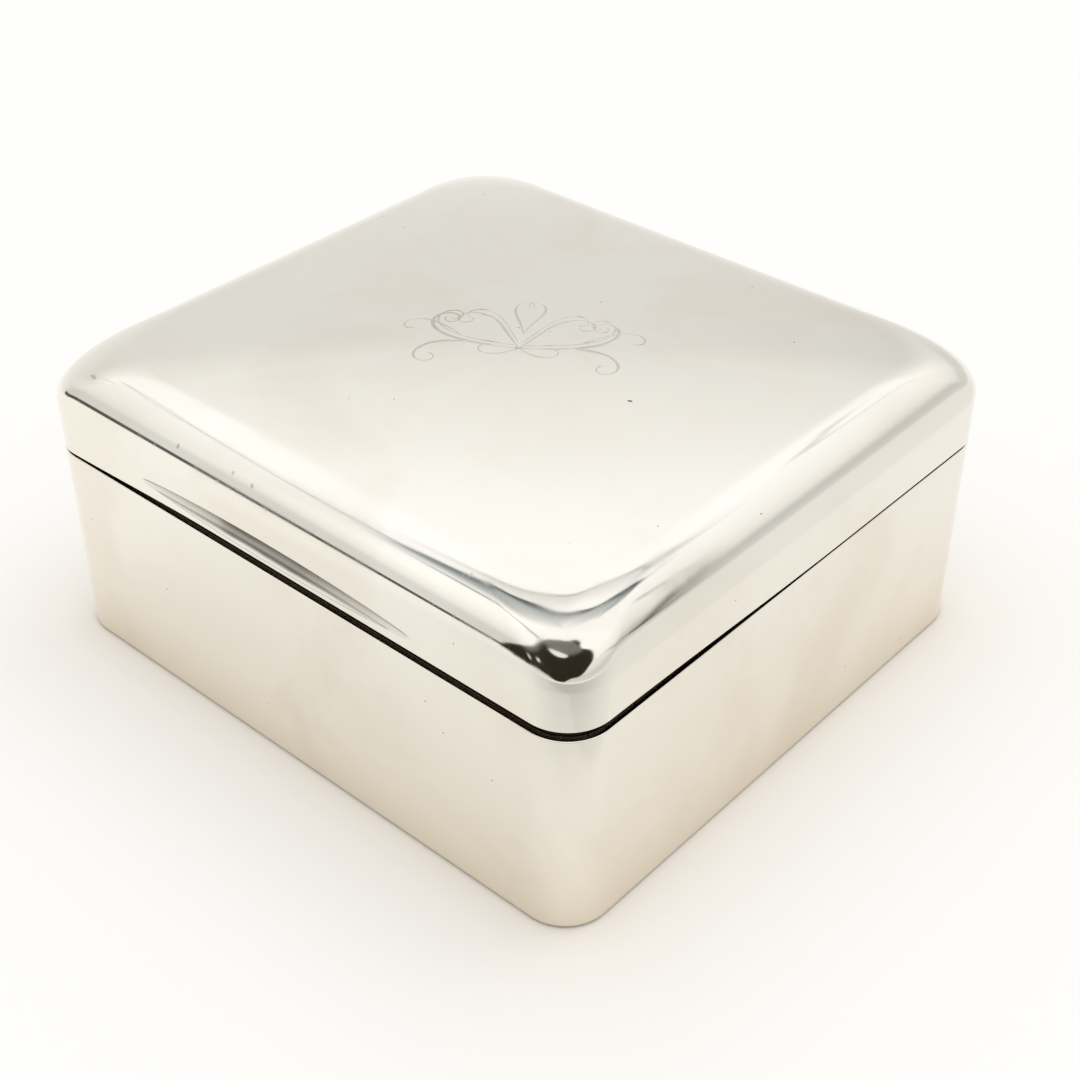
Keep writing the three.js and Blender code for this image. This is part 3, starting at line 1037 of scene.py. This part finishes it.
def cedarMaterial(name, grain, turn):
    material, tree, surface, coords = newMaterial(name)
    wood = placeGroup(tree, grain, turned(tree, coords, rotation=(0, 0, turn)))
    colour = mixColour(tree, wood["Bands"], cedarFinish["early"], cedarFinish["late"])
    colour = mixColour(tree, wood["Pores"], colour, cedarFinish["pore"])
    shade = spread(tree, wood["Fibres"], *cedarFinish["fibreShade"], "LINEAR")
    colour = mixColour(tree, 1.0, colour, shade, "MULTIPLY")
    # painted shade: the boards' outer faces, seen in the seam, darken strongly up to just above the body's
    # rim and by half above it
    inset = product(tree, outsideBox(tree, coords), -1.0)
    edgeShadeEnd = cedarFinish["edgeShadeInset"] + cedarFinish["edgeShadeFade"]
    over = minus(tree, partsOf(tree, coords)["Z"], bodyRim)
    stainAndShade = spread(tree, over, *cedarFinish["edgeShadeHigh"], *cedarFinish["paintedEdgeShade"])
    clean = spread(tree, inset, cedarFinish["edgeShadeInset"], edgeShadeEnd)
    colour = mixColour(tree, clean, mixColour(tree, 1.0, colour, stainAndShade, "MULTIPLY"), colour)
    rough = spread(tree, wood["Bands"], 0.0, 1.0, *cedarFinish["roughness"], "LINEAR")
    feed(tree, surface.inputs["Base Color"], colour)
    feed(tree, surface.inputs["Roughness"], rough)
    feed(tree, surface.inputs["Normal"], bumpOf(tree, wood["Fibres"], cedarFinish["fibreDepth"]))
    return material


# Studio: pale paper with painted light and shade, a soft room, a dark card that the silver mirrors, one soft
# lamp

noLight = (0.0, 0.0, 0.0, 1.0)
fullLight = (1.0, 1.0, 1.0, 1.0)
paperFloor = {
    "reach": 0.45,
    "segments": 96,
    "roughness": 0.9,
    "gloss": 0.1,
    "colour": (0.965, 0.91, 0.835, 1.0),
    "white": (1.0, 0.995, 0.98, 1.0),
    "bright": (1.08, 1.075, 1.06, 1.0),
    "brightFrom": (-20.0 * mm, -70.0 * mm),  # painted light: the polish mirrors brighter paper at the left
    "dimTurn": (41.5, 100.0),  # and painted shade on the paper out from the near corner: bearing and spread
    "dimReach": (18.0 * mm, 60.0 * mm),
    "dimShare": 0.34,
    "dimRight": (69.0 * mm, 73.0 * mm, 0.08),  # and painted shade far out at the right
    # share of painted plain white light by metres from the box: only near it does the paper keep its shade
    "clearing": ((0.0, 0.0), (0.0015, 0.1), (0.005, 0.28), (0.011, 0.45), (0.02, 0.68), (0.035, 0.88),
                 (0.07, 0.98), (0.2, 1.0)),
}


# Painted light and shade on the paper, for mirrored rays only: brighter at the left, dimmer out from the
# near corner and far out at the right
def mirroredPaper(tree, coords, mirrored):
    corner = boxOutline["corner"]
    out = fromPoint(tree, coords, (halfWidth - corner, corner - halfDepth, 0.0))
    far = lengthOf(tree, out)
    middle, width = paperFloor["dimTurn"]
    off = apart(tree, bearings(tree, out)[0], middle)
    dim = product(tree, spread(tree, far, *paperFloor["dimReach"], 0.0, paperFloor["dimShare"]),
                  fall(tree, off, 0.0, width), mirrored)
    across = partsOf(tree, coords)["X"]
    start, end, share = paperFloor["dimRight"]
    dimRight = product(tree, spread(tree, across, start, end, 0.0, share), mirrored)
    lift = product(tree, spread(tree, across, *paperFloor["brightFrom"]), mirrored)
    colour = mixColour(tree, lift, paperFloor["white"], paperFloor["bright"])
    return mixColour(tree, calc(tree, "ADD", dim, dimRight), colour, noLight)


def buildFloor():
    material, tree, surface, coords = newMaterial("pale_paper")
    surface.inputs["Base Color"].default_value = paperFloor["colour"]
    surface.inputs["Roughness"].default_value = paperFloor["roughness"]
    surface.inputs["Specular IOR Level"].default_value = paperFloor["gloss"]
    path = addNode(tree, "ShaderNodeLightPath").outputs
    seen = calc(tree, "MAXIMUM", path["Is Camera Ray"], path["Is Glossy Ray"])
    away = curveOf(tree, outsideBox(tree, coords), paperFloor["clearing"])
    # painted light: plain white glow over the paper for the camera and the polish, fading to the paper's own
    # shade near the box
    layLight(tree, product(tree, seen, away), surface, mirroredPaper(tree, coords, path["Is Glossy Ray"]))
    bm = bmesh.new()
    bmesh.ops.create_circle(bm, cap_ends=True, segments=paperFloor["segments"], radius=paperFloor["reach"])
    floor = newObject("paper_floor", bm, [material])


# The room is written by direction: degrees round from the front, to the right, and degrees up
room = {
    "fill": 0.92,  # plain level that lights the paper
    "tint": (1.036, 1.04, 1.045, 1.0),
    "windowTint": (1.036, 1.05, 1.085, 1.0),  # cooler daylight higher up
    "windowFrom": (33.0, 41.0),
    "farTurn": -138.0,  # the side that the lid's top mirrors
    "farSpan": (50.0, 85.0),
    "farRight": (-176.0, -156.0),  # it ends sooner at the right
    # brightness by height, there and on the other sides, and by turn
    "farLevels": ((-90, 0.97), (0, 0.95), (8, 0.90), (14, 0.875), (21, 0.838), (28, 0.80), (31, 0.87),
                  (35, 0.99), (39, 1.10), (45, 1.13), (52, 1.16), (90, 1.16)),
    "sideLevels": ((-90, 0.95), (-4, 0.92), (0, 0.82), (4, 0.745), (9, 0.745), (12.5, 0.80), (15, 0.87),
                   (18, 0.93), (24, 1.0), (30, 1.06), (40, 1.11), (52, 1.16), (90, 1.16)),
    "turnLevels": ((-240, 1.0), (-228, 0.955), (-190, 0.955), (-176, 1.0), (-75, 1.0), (-66, 0.95),
                   (-54, 0.95), (-47, 1.02), (-40, 1.06), (-32, 1.0)),
    "farFade": (-162.0, -140.0, 0.9),  # a little darker towards the right
    "farFadeIn": 20.0,
    "farFadeHigh": (34.0, 42.0),
    "seamTurn": 100.0,  # turns run from here round to here, so that the far side is in one piece
}
# Shaded ceiling beyond a curved edge, high on the far side, fine lines under it and a thin rim beside it
ceiling = {
    "edge": ((-212, 42), (-206, 45), (-199, 49), (-190, 55.5), (-181, 62), (-173, 69.8), (-160, 73.4),
             (-145, 75.4), (-133, 75), (-118, 70.5), (-101, 65.8), (-92, 62.3), (-80, 57.2), (-70, 53.6),
             (-65, 50.6), (-60, 47.2), (-56, 43.4), (-52, 40.0)),
    "edgeSoft": 0.6,
    "strength": ((-212, 0.7), (-200, 0.9), (-188, 1.0), (-178, 0.95), (-164, 0.85), (-146, 0.75),
                 (-130, 0.6), (-114, 1.0), (-95, 0.95), (-80, 0.85), (-66, 0.85), (-61, 0.5), (-57, 0.15)),
    # how fast the dark and the pale run out above the edge
    "thin": ((-188, 1.0), (-170, 1.5), (-146, 1.8), (-130, 1.3), (-112, 1.0), (-90, 1.5), (-75, 2.2),
             (-60, 2.6)),
    "paleThin": ((-200, 0.9), (-188, 1.0), (-180, 1.4), (-170, 2.4), (-150, 2.8), (-130, 2.0),
                 (-112, 1.0)),
    "left": (-206.0, -199.0),
    "right": (-61.0, -49.0),
    "pale": (0.32, 0.375, 0.41, 1.0),
    "dark": (0.07, 0.083, 0.095, 1.0),
    "paleDepth": (45.0, 0.8),
    "darkDepth": (10.0, 0.97),
    # lines as points, fade at both ends, half width, share, and the depth and share of soft grey over them
    "lines": (
        (((-196, 46), (-188, 50), (-170, 53), (-154, 56.5), (-140, 63), (-127, 62.5), (-110, 60), (-91, 57),
          (-79, 54), (-70, 51)), (-200.0, -186.0), (-112.0, -62.0), 2.0, 0.52, (14.0, 0.28)),
        (((-90, 38.5), (-82, 41), (-75, 42.6), (-70, 42.2), (-66, 42.2), (-62, 42.3), (-59.5, 43.4)),
         (-88.0, -78.0), (-60.0, -56.0), 1.2, 0.32, None),
        (((-196, 36), (-188, 38.5), (-186, 41.5), (-180, 44.3), (-172, 42.6), (-160, 42)),
         (-192.0, -186.0), (-173.0, -165.0), 1.1, 0.34, None),
        (((-92, 27), (-86.7, 30.5), (-84.2, 34.7), (-78, 37.5), (-71, 39.5), (-66, 40.0)),
         (-93.0, -88.0), (-74.0, -69.0), 1.0, 0.3, None),
    ),
    "greySoft": 0.8,
    # short upright lines at both ends, as points by height, half width and share
    "folds": (
        (((41, -58.8), (43.6, -60.5), (46, -60.6), (48, -60.4), (51, -65)), 2.2, 0.4),
        (((51, -194), (58, -193.5), (62, -197.2), (67, -199.2), (69, -203.5), (74, -209)), 2.4, 0.45),
    ),
    "foldEnds": (1.5, -2.0),  # they start and end this far from their first and last points
    "foldSoft": 1.5,
    "rim": ((-52, 43.5), (-49, 45), (-47.1, 47.1), (-44.9, 51.3), (-41.7, 55.7), (-37.7, 59.7), (-30, 61.8),
            (-22, 63.6), (-11, 64.5)),
    "rimHalf": 3.2,
    "rimShare": 0.6,
    "rimSoft": 1.0,
}
# Greys at the right: an arch with beige below it, two creases, and a soft band low down
rightSide = {
    "arch": ((4.5, 129.5), (6, 128.3), (7, 126.8), (8.5, 125), (15, 119.5), (26.6, 109), (33.7, 90.5),
             (36, 84)),
    "archHalf": 2.4,
    "archShare": 0.7,
    "archSoft": 2.0,
    # a narrow wedge between two creases, each as points by height, half width and share
    "creases": (
        (((4, 128.2), (6, 128.6), (11.5, 130.2), (14.8, 131.3), (19.2, 133.0), (25.5, 135.4), (31.3, 138.3),
          (38, 141)), 1.0, 1.0),
        (((1.5, 128.6), (3.6, 129.6), (5.7, 130.2), (10.2, 131.2), (18.4, 133.7), (24, 135.7),
          (30, 138.3)), 0.6, 0.4),
    ),
    "creaseSoft": 1.0,
    "creaseFade": (14.0, 22.0, 1.0, 0.5),  # they are fainter higher up
    "wedgeShare": 0.28,
    "wedgeEdge": 0.3,
    "wedgeHigh": (2.0, 30.0, 2.0),  # from, to and softness
    "bandTurn": (127.5, 150.0, 5.0),
    "bandHeight": 10.0,
    "bandHalf": 10.0,
    "bandShare": 0.2,
    "beigeShare": 0.22,
    "beigeDepth": 12.0,
    "beigeTurn": (35.0, 62.0),
    "beigeLow": 8.0,
    "beigeSoft": 3.0,
    "grey": (0.1, 0.09, 0.075, 1.0),
    "soft": (0.4, 0.38, 0.34, 1.0),
    "beige": (0.5, 0.43, 0.35, 1.0),
}
# Dark line where the far edge of the paper meets the room
farLine = {
    "colour": (0.03, 0.028, 0.022, 1.0),
    "left": (-71.0, -66.0),
    "right": (-33.0, -28.0),
    "height": -0.5,
    "fall": 0.1,
    "half": (1.9, 3.3),
    "share": 0.92,
}


def addCeiling(tree, turn, height, colour):
    shape = ceiling
    above = minus(tree, height, curveOf(tree, turn, shape["edge"]))
    ends = product(tree, spread(tree, above, -shape["edgeSoft"], shape["edgeSoft"]),
                   spread(tree, turn, *shape["left"]), fall(tree, turn, *shape["right"]))
    depth, share = shape["paleDepth"]
    deep = product(tree, above, curveOf(tree, turn, shape["paleThin"]))
    pale = product(tree, ends, fall(tree, deep, 0.0, depth, share))
    colour = mixColour(tree, pale, colour, shape["pale"])
    depth, share = shape["darkDepth"]
    deep = product(tree, above, curveOf(tree, turn, shape["thin"]))
    dark = product(tree, ends, fall(tree, deep, 0.0, depth, share), curveOf(tree, turn, shape["strength"]))
    colour = mixColour(tree, dark, colour, shape["dark"])
    first, last = shape["foldEnds"]
    for points, half, share in shape["folds"]:
        fold = product(tree, softLine(tree, turn, curveOf(tree, height, points), half, share),
                       between(tree, height, points[0][0] + first, points[-1][0] + last, shape["foldSoft"]))
        colour = mixColour(tree, fold, colour, shape["dark"])
    for points, start, end, half, share, grey in shape["lines"]:
        middle = curveOf(tree, turn, points)
        line = softLine(tree, height, middle, half, share)
        if grey:
            over = minus(tree, height, middle)
            shade = product(tree, spread(tree, over, 0.0, shape["greySoft"]), fall(tree, over, 0.0, *grey))
            line = calc(tree, "MAXIMUM", line, shade)
        line = product(tree, line, spread(tree, turn, *start), fall(tree, turn, *end))
        colour = mixColour(tree, line, colour, shape["dark"])
    rim = softLine(tree, height, curveOf(tree, turn, shape["rim"]), shape["rimHalf"], shape["rimShare"])
    rim = product(tree, rim, between(tree, turn, shape["rim"][0][0], shape["rim"][-1][0], shape["rimSoft"]))
    return mixColour(tree, rim, colour, shape["dark"])


def addRightSide(tree, turn, height, colour):
    shape = rightSide
    arch = curveOf(tree, height, shape["arch"])
    low, high = shape["arch"][0][0], shape["arch"][-1][0]
    soft = shape["beigeSoft"]
    below = minus(tree, arch, turn)
    under = product(tree, spread(tree, below, 0.0, shape["beigeDepth"], 0.0, shape["beigeShare"]),
                    spread(tree, turn, *shape["beigeTurn"]),
                    between(tree, height, shape["beigeLow"], high - soft, soft))
    colour = mixColour(tree, under, colour, shape["beige"])
    band = product(tree, softLine(tree, height, shape["bandHeight"], shape["bandHalf"], shape["bandShare"]),
                   between(tree, turn, *shape["bandTurn"]))
    colour = mixColour(tree, band, colour, shape["soft"])
    archLine = product(tree, softLine(tree, turn, arch, shape["archHalf"], shape["archShare"]),
                       between(tree, height, low, high, shape["archSoft"]))
    colour = mixColour(tree, archLine, colour, shape["grey"])
    sides = []
    fade = spread(tree, height, *shape["creaseFade"])
    for points, half, share in shape["creases"]:
        middle = curveOf(tree, height, points)
        sides.append(minus(tree, turn, middle))
        crease = product(tree, softLine(tree, turn, middle, half, share), fade,
                         between(tree, height, points[0][0], points[-1][0], shape["creaseSoft"]))
        colour = mixColour(tree, crease, colour, shape["grey"])
    edge = shape["wedgeEdge"]
    wedge = product(tree, spread(tree, sides[0], 0.0, edge, 0.0, shape["wedgeShare"]),
                    fall(tree, sides[1], -edge, 0.0), between(tree, height, *shape["wedgeHigh"]), fade, fade)
    return mixColour(tree, wedge, colour, shape["soft"])


def addFarLine(tree, turn, height, colour):
    shape = farLine
    middle = calc(tree, "MULTIPLY_ADD", minus(tree, turn, shape["right"][0]), -shape["fall"],
                  shape["height"] + shape["fall"] * (shape["left"][1] - shape["right"][0]))
    line = product(tree, fall(tree, apart(tree, height, middle), *shape["half"], shape["share"]),
                   spread(tree, turn, *shape["left"]), fall(tree, turn, *shape["right"]))
    return mixColour(tree, line, colour, shape["colour"])


def buildRoom():
    world = bpy.data.worlds.new("soft_room")
    bpy.context.scene.world = world
    world.use_nodes = True
    tree = world.node_tree
    turn, height = bearings(tree, addNode(tree, "ShaderNodeTexCoord").outputs["Generated"])
    farTurn = calc(tree, "WRAP", turn, room["seamTurn"], room["seamTurn"] - 360.0)
    off = calc(tree, "WRAP", minus(tree, turn, room["farTurn"]), 180.0, -180.0)
    far = product(tree, fall(tree, calc(tree, "ABSOLUTE", off), *room["farSpan"]),
                  spread(tree, farTurn, *room["farRight"]))
    colour = mixColour(tree, far, curveOf(tree, height, room["sideLevels"]),
                       curveOf(tree, height, room["farLevels"]))
    tint = mixColour(tree, spread(tree, height, *room["windowFrom"]), room["tint"], room["windowTint"])
    colour = mixColour(tree, 1.0, colour, tint, "MULTIPLY")
    colour = mixColour(tree, 1.0, colour, curveOf(tree, farTurn, room["turnLevels"]), "MULTIPLY")
    start, end, level = room["farFade"]
    dim = product(tree, spread(tree, farTurn, start - room["farFadeIn"], start),
                  fall(tree, farTurn, start, end, 1.0 - level), fall(tree, height, *room["farFadeHigh"]))
    colour = mixColour(tree, dim, colour, noLight)
    colour = addCeiling(tree, farTurn, height, colour)
    colour = addRightSide(tree, turn, height, colour)
    colour = addFarLine(tree, turn, height, colour)
    path = addNode(tree, "ShaderNodeLightPath").outputs
    fill = [room["fill"]] * 3 + [1.0]
    colour = mixColour(tree, path["Is Glossy Ray"], fill, colour)
    colour = mixColour(tree, path["Is Camera Ray"], colour, fullLight)
    feed(tree, tree.nodes["Background"].inputs["Color"], colour)


# A painted dark reflection: a curved card off the near corner, with a slot and two small gaps of painted
# light
darkCard = {
    "middle": (42.5 * mm, -38.8 * mm, 38.5 * mm),
    "facing": (0.41, -0.71, 0.57),
    "radius": 20.0 * mm,
    "subdivisions": 5,
    # only the corner mirrors it: metal nearer than the first length or past the second doesn't
    "near": (9.0 * mm, 12.0 * mm),
    "reach": (20.5 * mm, 22.0 * mm),
    "black": (0.028, 0.023, 0.015, 1.0),
    "grey": (0.2, 0.21, 0.2, 1.0),
    # edges in degrees from its middle: both sides by height, the foot by turn
    "left": ((-11.5, -49), (0, -47.5), (8, -44), (25.5, -35), (46, -28.5), (59.5, -31), (69.5, -32),
             (73, -30.5), (77, -24), (81, -16.5), (83.5, 5), (85, 54), (90, 60)),
    "leftSoft": (0.9, 0.04),  # degrees, and more per degree up
    "right": ((27, 93), (33, 95), (42, 100), (51.5, 101.5), (60.5, 96), (66.5, 90.5), (71.5, 97.5),
              (73.5, 105), (78, 109), (82.5, 94), (85, 54), (90, 50)),
    "rightSoft": (-2.8, 2.8),
    "foot": ((-49.5, -6), (-45.5, -7), (-41.5, -9.5), (-36.5, -8.5), (-23, -0.5), (-10.5, 3.5), (2.5, 2),
             (11.5, -2), (20, -5.5), (29.5, -6), (40, 0.5), (49.5, 6.5), (61, 8.5), (71, 14), (83.5, 25),
             (95, 33), (104, 42.5)),
    "footSoft": (-2.5, 3.0),
    # greyer beside its left edge, from some height, and at its top, up to some turn
    "greySide": (1.8, 12.0),
    "greySideHigh": (10.0, 30.0),
    "greyTop": (57.0, 67.0),
    "greyTopTurn": (85.0, 92.0),
    # ovals as turn, height, both half sizes and level of their painted light
    "gaps": ((18, 60, 26.5, 4.8, 1.0), (-14.5, 23.5, 3.5, 4.25, 0.85), (-29, 11.5, 3.2, 4.3, 0.6)),
    "gapEdge": (0.6, 1.25),
}


def ovalDistance(tree, turn, height, oval):
    across, up, halfAcross, halfUp = oval
    sideways = calc(tree, "DIVIDE", minus(tree, turn, across), halfAcross)
    upright = calc(tree, "DIVIDE", minus(tree, height, up), halfUp)
    return calc(tree, "MULTIPLY_ADD", sideways, sideways, product(tree, upright, upright))


def cardMaterial():
    shape = darkCard
    material, tree, surface, coords = newMaterial("dark_card")
    outward = addNode(tree, "ShaderNodeVectorMath", operation="NORMALIZE", inputs={
        0: fromPoint(tree, coords, shape["middle"])})
    turn, height = bearings(tree, outward.outputs[0])
    pastLeft = minus(tree, turn, curveOf(tree, height, shape["left"]))
    pastRight = minus(tree, turn, curveOf(tree, height, shape["right"]))
    overFoot = minus(tree, height, curveOf(tree, turn, shape["foot"]))
    least, more = shape["leftSoft"]
    soft = calc(tree, "MULTIPLY_ADD", calc(tree, "MAXIMUM", height, 0.0), more, least)
    fromInside = addNode(tree, "ShaderNodeNewGeometry").outputs["Backfacing"]
    away = addNode(tree, "ShaderNodeLightPath").outputs["Ray Length"]
    mask = product(tree, spread(tree, calc(tree, "DIVIDE", pastLeft, soft), -1.0, 1.0),
                   fall(tree, pastRight, *shape["rightSoft"]), spread(tree, overFoot, *shape["footSoft"]),
                   spread(tree, away, *shape["near"]), fall(tree, away, *shape["reach"]), fromInside)
    greySide = product(tree, fall(tree, pastLeft, *shape["greySide"]),
                       spread(tree, height, *shape["greySideHigh"]))
    greyTop = product(tree, spread(tree, height, *shape["greyTop"]), fall(tree, turn, *shape["greyTopTurn"]))
    colour = mixColour(tree, calc(tree, "MAXIMUM", greySide, greyTop), shape["black"], shape["grey"])
    for *oval, level in shape["gaps"]:
        gap = fall(tree, ovalDistance(tree, turn, height, oval), *shape["gapEdge"])
        colour = mixColour(tree, gap, colour, (level, level, level, 1.0))
    layLight(tree, mask, addNode(tree, "ShaderNodeBsdfTransparent"), colour)
    tree.nodes.remove(surface)
    return material


def buildCard():
    bm = bmesh.new()
    bmesh.ops.create_icosphere(bm, subdivisions=darkCard["subdivisions"], radius=darkCard["radius"],
                               matrix=Matrix.Translation(darkCard["middle"]))
    bmesh.ops.bisect_plane(bm, geom=[*bm.verts, *bm.edges, *bm.faces], plane_co=darkCard["middle"],
                           plane_no=darkCard["facing"], clear_inner=True)
    card = newObject("dark_card", bm, [cardMaterial()])
    card.visible_camera = False
    card.visible_diffuse = False
    card.visible_shadow = False
    card.visible_transmission = False


softLamp = {
    "place": (0.22, 0.62, 0.85),
    "size": 0.7,
    "power": 1.2,
    "colour": (1.0, 0.985, 0.955),
}


def buildLamp():
    light = bpy.data.lights.new("soft_lamp", "AREA")
    light.shape = "DISK"
    light.size = softLamp["size"]
    light.energy = softLamp["power"]
    light.color = softLamp["colour"]
    lamp = bpy.data.objects.new("soft_lamp", light)
    bpy.context.scene.collection.objects.link(lamp)
    lamp.location = softLamp["place"]
    lamp.rotation_euler = Vector(softLamp["place"]).to_track_quat("Z", "Y").to_euler()
    lamp.visible_glossy = False


photoView = {
    "azimuth": 41.553,
    "elevation": 36.401,
    "distance": 227.136 * mm,
    "target": (9.648 * mm, -6.475 * mm, 20.0 * mm),
    "lens": 59.27,
    "sensor": 36.0,
    "clipStart": 10.0 * mm,
}


def buildCamera():
    data = bpy.data.cameras.new("photo_camera")
    data.lens = photoView["lens"]
    data.sensor_width = photoView["sensor"]
    data.sensor_fit = "HORIZONTAL"
    data.clip_start = photoView["clipStart"]
    camera = bpy.data.objects.new("photo_camera", data)
    bpy.context.scene.collection.objects.link(camera)
    azimuth = math.radians(photoView["azimuth"])
    elevation = math.radians(photoView["elevation"])
    back = Vector((math.sin(azimuth) * math.cos(elevation),
                   -math.cos(azimuth) * math.cos(elevation),
                   math.sin(elevation)))
    camera.location = Vector(photoView["target"]) + back * photoView["distance"]
    camera.rotation_euler = back.to_track_quat("Z", "Y").to_euler()
    bpy.context.scene.camera = camera


buildCamera()
buildFloor()
buildRoom()
buildCard()
buildLamp()
print("studio ready")

metalWear = makeMetalWear()
cedarGrain = makeCedarGrain()
lidSilver = lidMaterial(metalWear)
cutShadeSilver = wornMetal("cut_shade_silver", metalWear, cutShadeFinish)
bodySilver = silverMaterial("body_silver", metalWear)
gilt = wornMetal("gilt_wash", metalWear, giltFinish)
drawnWire = wornMetal("drawn_wire", metalWear, wireFinish)
cedarAcross = cedarMaterial("cedar_along_front", cedarGrain, 0)
cedarDeep = cedarMaterial("cedar_along_side", cedarGrain, 90)
print("materials ready")

lidTree = buildLid([lidSilver, gilt])
buildOrnament(lidTree, cutShadeSilver)
buildBody([bodySilver, bodySilver])
buildHinge(bodySilver, drawnWire)
buildLining(cedarAcross, cedarDeep)

bpy.context.scene.view_settings.view_transform = "Standard"
